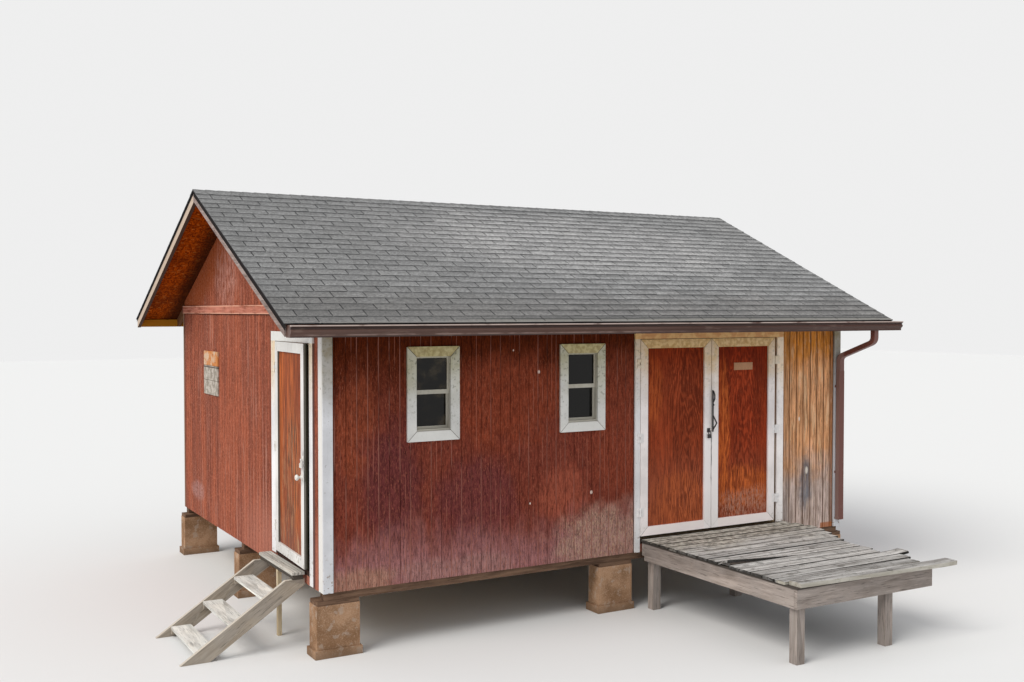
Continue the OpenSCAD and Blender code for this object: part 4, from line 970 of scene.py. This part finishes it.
def groove_siding():
    cutter = groove_cutters()
    front, gable = "red_siding_front", "red_siding_gable"
    for name, slot in (("siding_front_left", front), ("siding_front_right", "bare_siding"),
                       ("siding_at_doors", front), ("siding_left", gable), ("siding_right", gable),
                       ("siding_back", front), ("gable_siding", gable)):
        thing = place(name + "_grooved", nodes[name].data.copy(), "building", slot)
        cut = thing.modifiers.new("grooves", "BOOLEAN")
        cut.object = cutter
        cut.operation = "DIFFERENCE"
        cut.solver = "EXACT"
        bpy.context.view_layer.update()
        solid = thing.evaluated_get(bpy.context.evaluated_depsgraph_get())
        mesh = bpy.data.meshes.new_from_object(solid)
        thing.modifiers.remove(cut)
        thing.data = mesh
        for material_slot in thing.material_slots:
            material_slot.material = nodes[name].material_slots[0].material
        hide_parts(name)
    bpy.data.objects.remove(cutter)


groove_siding()


# Shingle tabs, in courses from the eave up, each lapping the one below

def roof_point(x, down, out, side):
    """A point on a slope, measured down from the ridge and out from its surface; side is -1 in front."""
    y = down * math.cos(SLOPE) + out * math.sin(SLOPE)
    z = RIDGE_Z - down * math.sin(SLOPE) + out * math.cos(SLOPE)
    return (x, side * y, z)


def roof_ring(side, *points):
    """A ring of such points, the other way round on the back slope so that its solid faces outwards."""
    ring = [roof_point(*point, side) for point in points]
    return ring if side < 0 else ring[::-1]


def shingle_tabs(side, seed):
    rng = random.Random(seed)
    tabs = Solids()
    for row in range(math.ceil(SLOPE_LENGTH / COURSE)):
        butt = SLOPE_LENGTH + BUTT_OUT - row * COURSE
        top = max(butt - COURSE - LAP, 0.01)
        x = ROOF_X0 - (row % 2) * TAB / 2 - rng.uniform(0, 0.02)
        while x < ROOF_X1:
            x0 = max(x + SLOT / 2, ROOF_X0)
            x1 = min(x + TAB - SLOT / 2, ROOF_X1)
            x += TAB
            if x1 - x0 < TAB_LEAST:
                continue
            low = butt + rng.uniform(-0.002, 0.002)
            lift = BUTT_RISE + rng.uniform(-0.001, 0.0015)
            curl = rng.uniform(0, 0.003) if rng.random() < 0.2 else 0
            head = roof_ring(side, (x0, top, 0.0), (x1, top, 0.0), (x1, top, 0.001), (x0, top, 0.001))
            foot = roof_ring(side, (x0, low, 0.0005), (x1, low, 0.0005), (x1, low, lift + curl),
                             (x0, low, lift))
            tabs.loft([head, foot])
    return tabs


shingle_tabs(-1, 11).make("shingle_tabs_front", TABS, "asphalt_shingle")
shingle_tabs(1, 12).make("shingle_tabs_back", TABS, "asphalt_shingle")


EDGE_STEPS = 90
EDGE_DEEP = 0.012


def eave_edges(side, seed):
    """The wavy, paler butts of the lowest course."""
    rng = random.Random(seed)
    edges = Solids()
    down = SLOPE_LENGTH + BUTT_OUT + 0.001
    out = 0.001
    phase = rng.uniform(0, 6)
    rings = []
    for s in range(EDGE_STEPS + 1):
        x = ROOF_X0 + 0.002 + (ROOF_X1 - ROOF_X0 - 0.004) * s / EDGE_STEPS
        wave = 0.0012 * math.sin(2.3 * x + phase) + 0.001 * math.sin(7.1 * x + 2 * phase)
        wave += rng.uniform(-0.0006, 0.0006)
        low = down + wave
        rings.append(roof_ring(side, (x, low - EDGE_DEEP, out + 0.0045), (x, low, out),
                               (x, low, out + 0.0045 + wave), (x, low - EDGE_DEEP, out + 0.0065 + wave)))
    edges.loft(rings)
    return edges


eave_edges(-1, 3).make("eave_edges_front", EAVE_EDGE, "asphalt_shingle")
eave_edges(1, 4).make("eave_edges_back", EAVE_EDGE, "asphalt_shingle")


CAP_HALF = 0.128
CAP_THICK = 0.004
CAP_LONG = 0.15
CAP_STEP = 0.127


def cap_line(x, spread, lift):
    """Three points over the ridge, from the front slope to the back one."""
    return [roof_point(x, spread, lift, -1), (x, 0.0, roof_point(x, 0, lift, -1)[2]),
            roof_point(x, spread, lift, 1)]


def ridge_caps():
    """Bent caps that lap along the ridge."""
    rng = random.Random(5)
    caps = Solids()
    x = ROOF_X0
    while x < ROOF_X1 - 0.01:
        end = min(x + CAP_LONG, ROOF_X1)
        rings = []
        for px, lift in ((x, 0.0095 + rng.uniform(0, 0.002)), (end, 0.0055)):
            spread = CAP_HALF + rng.uniform(-0.003, 0.003)
            rings.append(cap_line(px, spread, lift) + cap_line(px, spread, lift - CAP_THICK)[::-1])
        caps.loft(rings)
        x += CAP_STEP
    return caps


ridge = ridge_caps().make("ridge_cap_shingles", TABS, "asphalt_shingle")
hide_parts("ridge_shingles")


# Heights of the strips on the front and the back slope
STRIP_TALL = {-1: 0.044, 1: 0.026}


def rake_strips():
    """Metal strips that cover the deck's edge and the top of the barge boards."""
    strips = Solids()
    for outer, inner in ((ROOF_X0 + 0.0085, ROOF_X0 + 0.0099), (ROOF_X1 - 0.0085, ROOF_X1 - 0.0099)):
        for side in (-1, 1):
            tall = STRIP_TALL[side] * PLUMB
            rings = []
            for y in (0.0, EAVE_Y - 0.004):
                top = RIDGE_Z - PITCH * y - SLAB_PLUMB
                kick = (outer - inner) * 3
                ring = [(inner, side * y, top), (outer, side * y, top), (outer, side * y, top - tall + 0.006),
                        (outer + kick, side * y, top - tall), (inner, side * y, top - tall + 0.004)]
                rings.append(ring if side * (outer - inner) > 0 else ring[::-1])
            strips.loft(rings)
    return strips


rake_strips().make("rake_drip_strips", DRIP_METAL, "brown_metal")


# Worn landing boards

LANDING_ENDS = (2.19, 2.24, 2.29, 2.25, 2.2, 2.13, 2.06, 1.99, 1.975, 1.985, 1.93, 2.15, 2.01, 1.93, 2.18)
LAST_ROW = len(LANDING_ENDS) - 1
LIFTED_ROW = 8
CURLED_ROW = 11
BOARD_STEPS = 40
BOARD_WIDTH = 0.138

# The degrees by which the two front boards lie askew
ASKEW = {LAST_ROW: 2.8, LAST_ROW - 1: 1.0}


def landing_boards():
    """Boards from the wall outwards, bowed and cupped, with ragged ends; one has lifted at its front."""
    rng = random.Random(23)
    boards = Solids()
    lo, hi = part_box("landing_boards")
    for i, end in enumerate(LANDING_ENDS):
        last = i == LAST_ROW
        back = hi.y - i * LANDING_PITCH
        start = lo.x + (0.04 if last else 0.0)
        turn = math.tan(math.radians(ASKEW.get(i, 0.0)))
        thick = 0.038 if last else 0.025
        bow = rng.uniform(-0.003, 0.002)
        cup = rng.uniform(0.0015, 0.0045)
        tip = 0.025 if i == CURLED_ROW else rng.uniform(0.0, 0.01)
        phase = rng.uniform(0, 6)
        width = BOARD_WIDTH - rng.uniform(0.0, 0.005)
        rings = []
        for s in range(BOARD_STEPS + 1):
            t = s / BOARD_STEPS
            x = start + (end - start) * t
            free = max(0.0, (x - 1.96) / 0.3)
            lift = bow * math.sin(math.pi * t) + tip * free ** 1.6
            front_lift = 0.0
            if i == LIFTED_ROW:
                front_lift = 0.045 * max(0.0, 1.0 - (x - lo.x) / 0.9) ** 1.2
            if i == LIFTED_ROW + 1:
                front_lift = -0.004 * max(0.0, 1.0 - (x - lo.x) / 0.85)
            rag = [0.0] * 5
            if s == BOARD_STEPS:
                rag = [rng.uniform(-0.014, 0.0) for _ in range(5)]
            elif s == 0:
                rag = [rng.uniform(0.0, 0.006) for _ in range(5)]
            shift = -turn * (x - start) + (0.0 if last else 0.0018 * math.sin(6 * t + phase))
            y1 = back + shift - 0.0005
            y0 = y1 - width + rng.uniform(-0.0012, 0.0012)
            top = lo.z + thick + lift
            rings.append([(x + rag[0], y0, top - thick + front_lift), (x + rag[1], y1, top - thick),
                          (x + rag[2], y1, top - cup), (x + rag[3], (y0 + y1) / 2, top + front_lift * 0.5),
                          (x + rag[4], y0, top - cup + front_lift)])
        boards.loft(rings)
    return boards


landing = landing_boards().make("landing_boards_worn", LANDING, "weathered_lumber")
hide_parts("landing_boards")


# The bare plate on the right leaf

PLATE_X = (1.502, 1.757)
PLATE_Z = (2.352, 2.43)


def bare_plate():
    """A thin board with eased edges, on the right leaf."""
    plate = Solids()
    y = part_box("right_leaf_panel")[0].y
    for inset, out in ((0.0, 0.0), (0.0, 0.005), (0.002, 0.007)):
        x0, x1 = PLATE_X[0] + inset, PLATE_X[1] - inset
        z0, z1 = PLATE_Z[0] + inset, PLATE_Z[1] - inset
        plate.points += [(x, y - out, z) for x, z in ((x0, z0), (x0, z1), (x1, z1), (x1, z0))]
    for a, b in ((0, 4), (4, 8)):
        for j in range(4):
            k = (j + 1) % 4
            plate.faces.append((a + j, a + k, b + k, b + j))
    plate.faces += [(0, 3, 2, 1), (8, 9, 10, 11)]
    return plate


bare_plate().make("right_leaf_bare_plate", PLATE_WOOD, "white_trim", "right_leaf")


# Eased edges on boards

EASED = ("corner_boards door_side_casings door_head_casings window_casings fascia_boards barge_boards "
         "step_stringers step_treads landing_frame left_leaf_frame right_leaf_frame side_door_frame "
         "gable_bands sign_boards")
for name in EASED.split():
    ease = nodes[name].modifiers.new("eased_edges", "BEVEL")
    ease.width = 0.0015
    ease.segments = 1
    ease.limit_method = "ANGLE"


# Stage: a pale floor, soft light and the camera

FLOOR_HALF = 60.0
FLOOR_COLOUR = (0.74, 0.74, 0.74)
SUN_WAY = (0.68, 0.2, -0.7)


def plain_material(name, colour, rough):
    material = bpy.data.materials.new(name)
    material.use_nodes = True
    shader = material.node_tree.nodes["Principled BSDF"]
    shader.inputs["Base Color"].default_value = (*colour, 1.0)
    shader.inputs["Roughness"].default_value = rough
    shader.inputs["Specular IOR Level"].default_value = 0.1
    return material


def make_floor():
    mesh = bpy.data.meshes.new("floor")
    h = FLOOR_HALF
    mesh.from_pydata([(-h, -h, 0), (h, -h, 0), (h, h, 0), (-h, h, 0)], [], [(0, 1, 2, 3)])
    mesh.materials.append(plain_material("floor_paint", FLOOR_COLOUR, 0.9))
    floor = add_to_scene("floor", mesh)
    floor.location.z = -0.001


def make_world():
    """Soft light from all round, and a plain pale backdrop for what is seen of it."""
    world = bpy.data.worlds.new("soft_sky")
    bpy.context.scene.world = world
    world.use_nodes = True
    tree = world.node_tree
    tree.nodes.clear()
    mix = tree.nodes.new("ShaderNodeMixShader")
    rays = tree.nodes.new("ShaderNodeLightPath").outputs
    seen = rays["Is Camera Ray"]
    for kind in ("Is Glossy Ray", "Is Transmission Ray"):
        either = tree.nodes.new("ShaderNodeMath")
        either.operation = "MAXIMUM"
        tree.links.new(seen, either.inputs[0])
        tree.links.new(rays[kind], either.inputs[1])
        seen = either.outputs[0]
    tree.links.new(seen, mix.inputs[0])
    for i, colour, strength in ((1, (0.95, 0.975, 1.0, 1.0), 0.72), (2, (0.86, 0.86, 0.86, 1.0), 1.0)):
        light = tree.nodes.new("ShaderNodeBackground")
        light.inputs["Color"].default_value = colour
        light.inputs["Strength"].default_value = strength
        tree.links.new(light.outputs[0], mix.inputs[i])
    tree.links.new(mix.outputs[0], tree.nodes.new("ShaderNodeOutputWorld").inputs[0])


def make_sun():
    data = bpy.data.lights.new("key", "SUN")
    data.energy = 2.3
    data.angle = math.radians(35)
    data.color = (1.0, 0.97, 0.92)
    lamp = add_to_scene("key", data)
    lamp.rotation_mode = "QUATERNION"
    lamp.rotation_quaternion = Vector(SUN_WAY).to_track_quat("-Z", "Y")


# The camera that was fitted to the photograph's corners
CAMERA_PLACE = (-6.298, -11.3505, 2.973)
CAMERA_YAW = 29.83
CAMERA_DOWN = 1.554
FOCAL_PIXELS = 1103.27
IMAGE_WIDTH = 1024


def make_camera():
    data = bpy.data.cameras.new("camera")
    data.sensor_width = 36.0
    data.lens = FOCAL_PIXELS / IMAGE_WIDTH * data.sensor_width
    data.clip_end = 200
    camera = add_to_scene("camera", data)
    camera.location = CAMERA_PLACE
    camera.rotation_euler = (math.radians(90 - CAMERA_DOWN), 0, math.radians(-CAMERA_YAW))
    bpy.context.scene.camera = camera


make_floor()
make_world()
make_sun()
make_camera()
bpy.context.scene.view_settings.view_transform = "Standard"
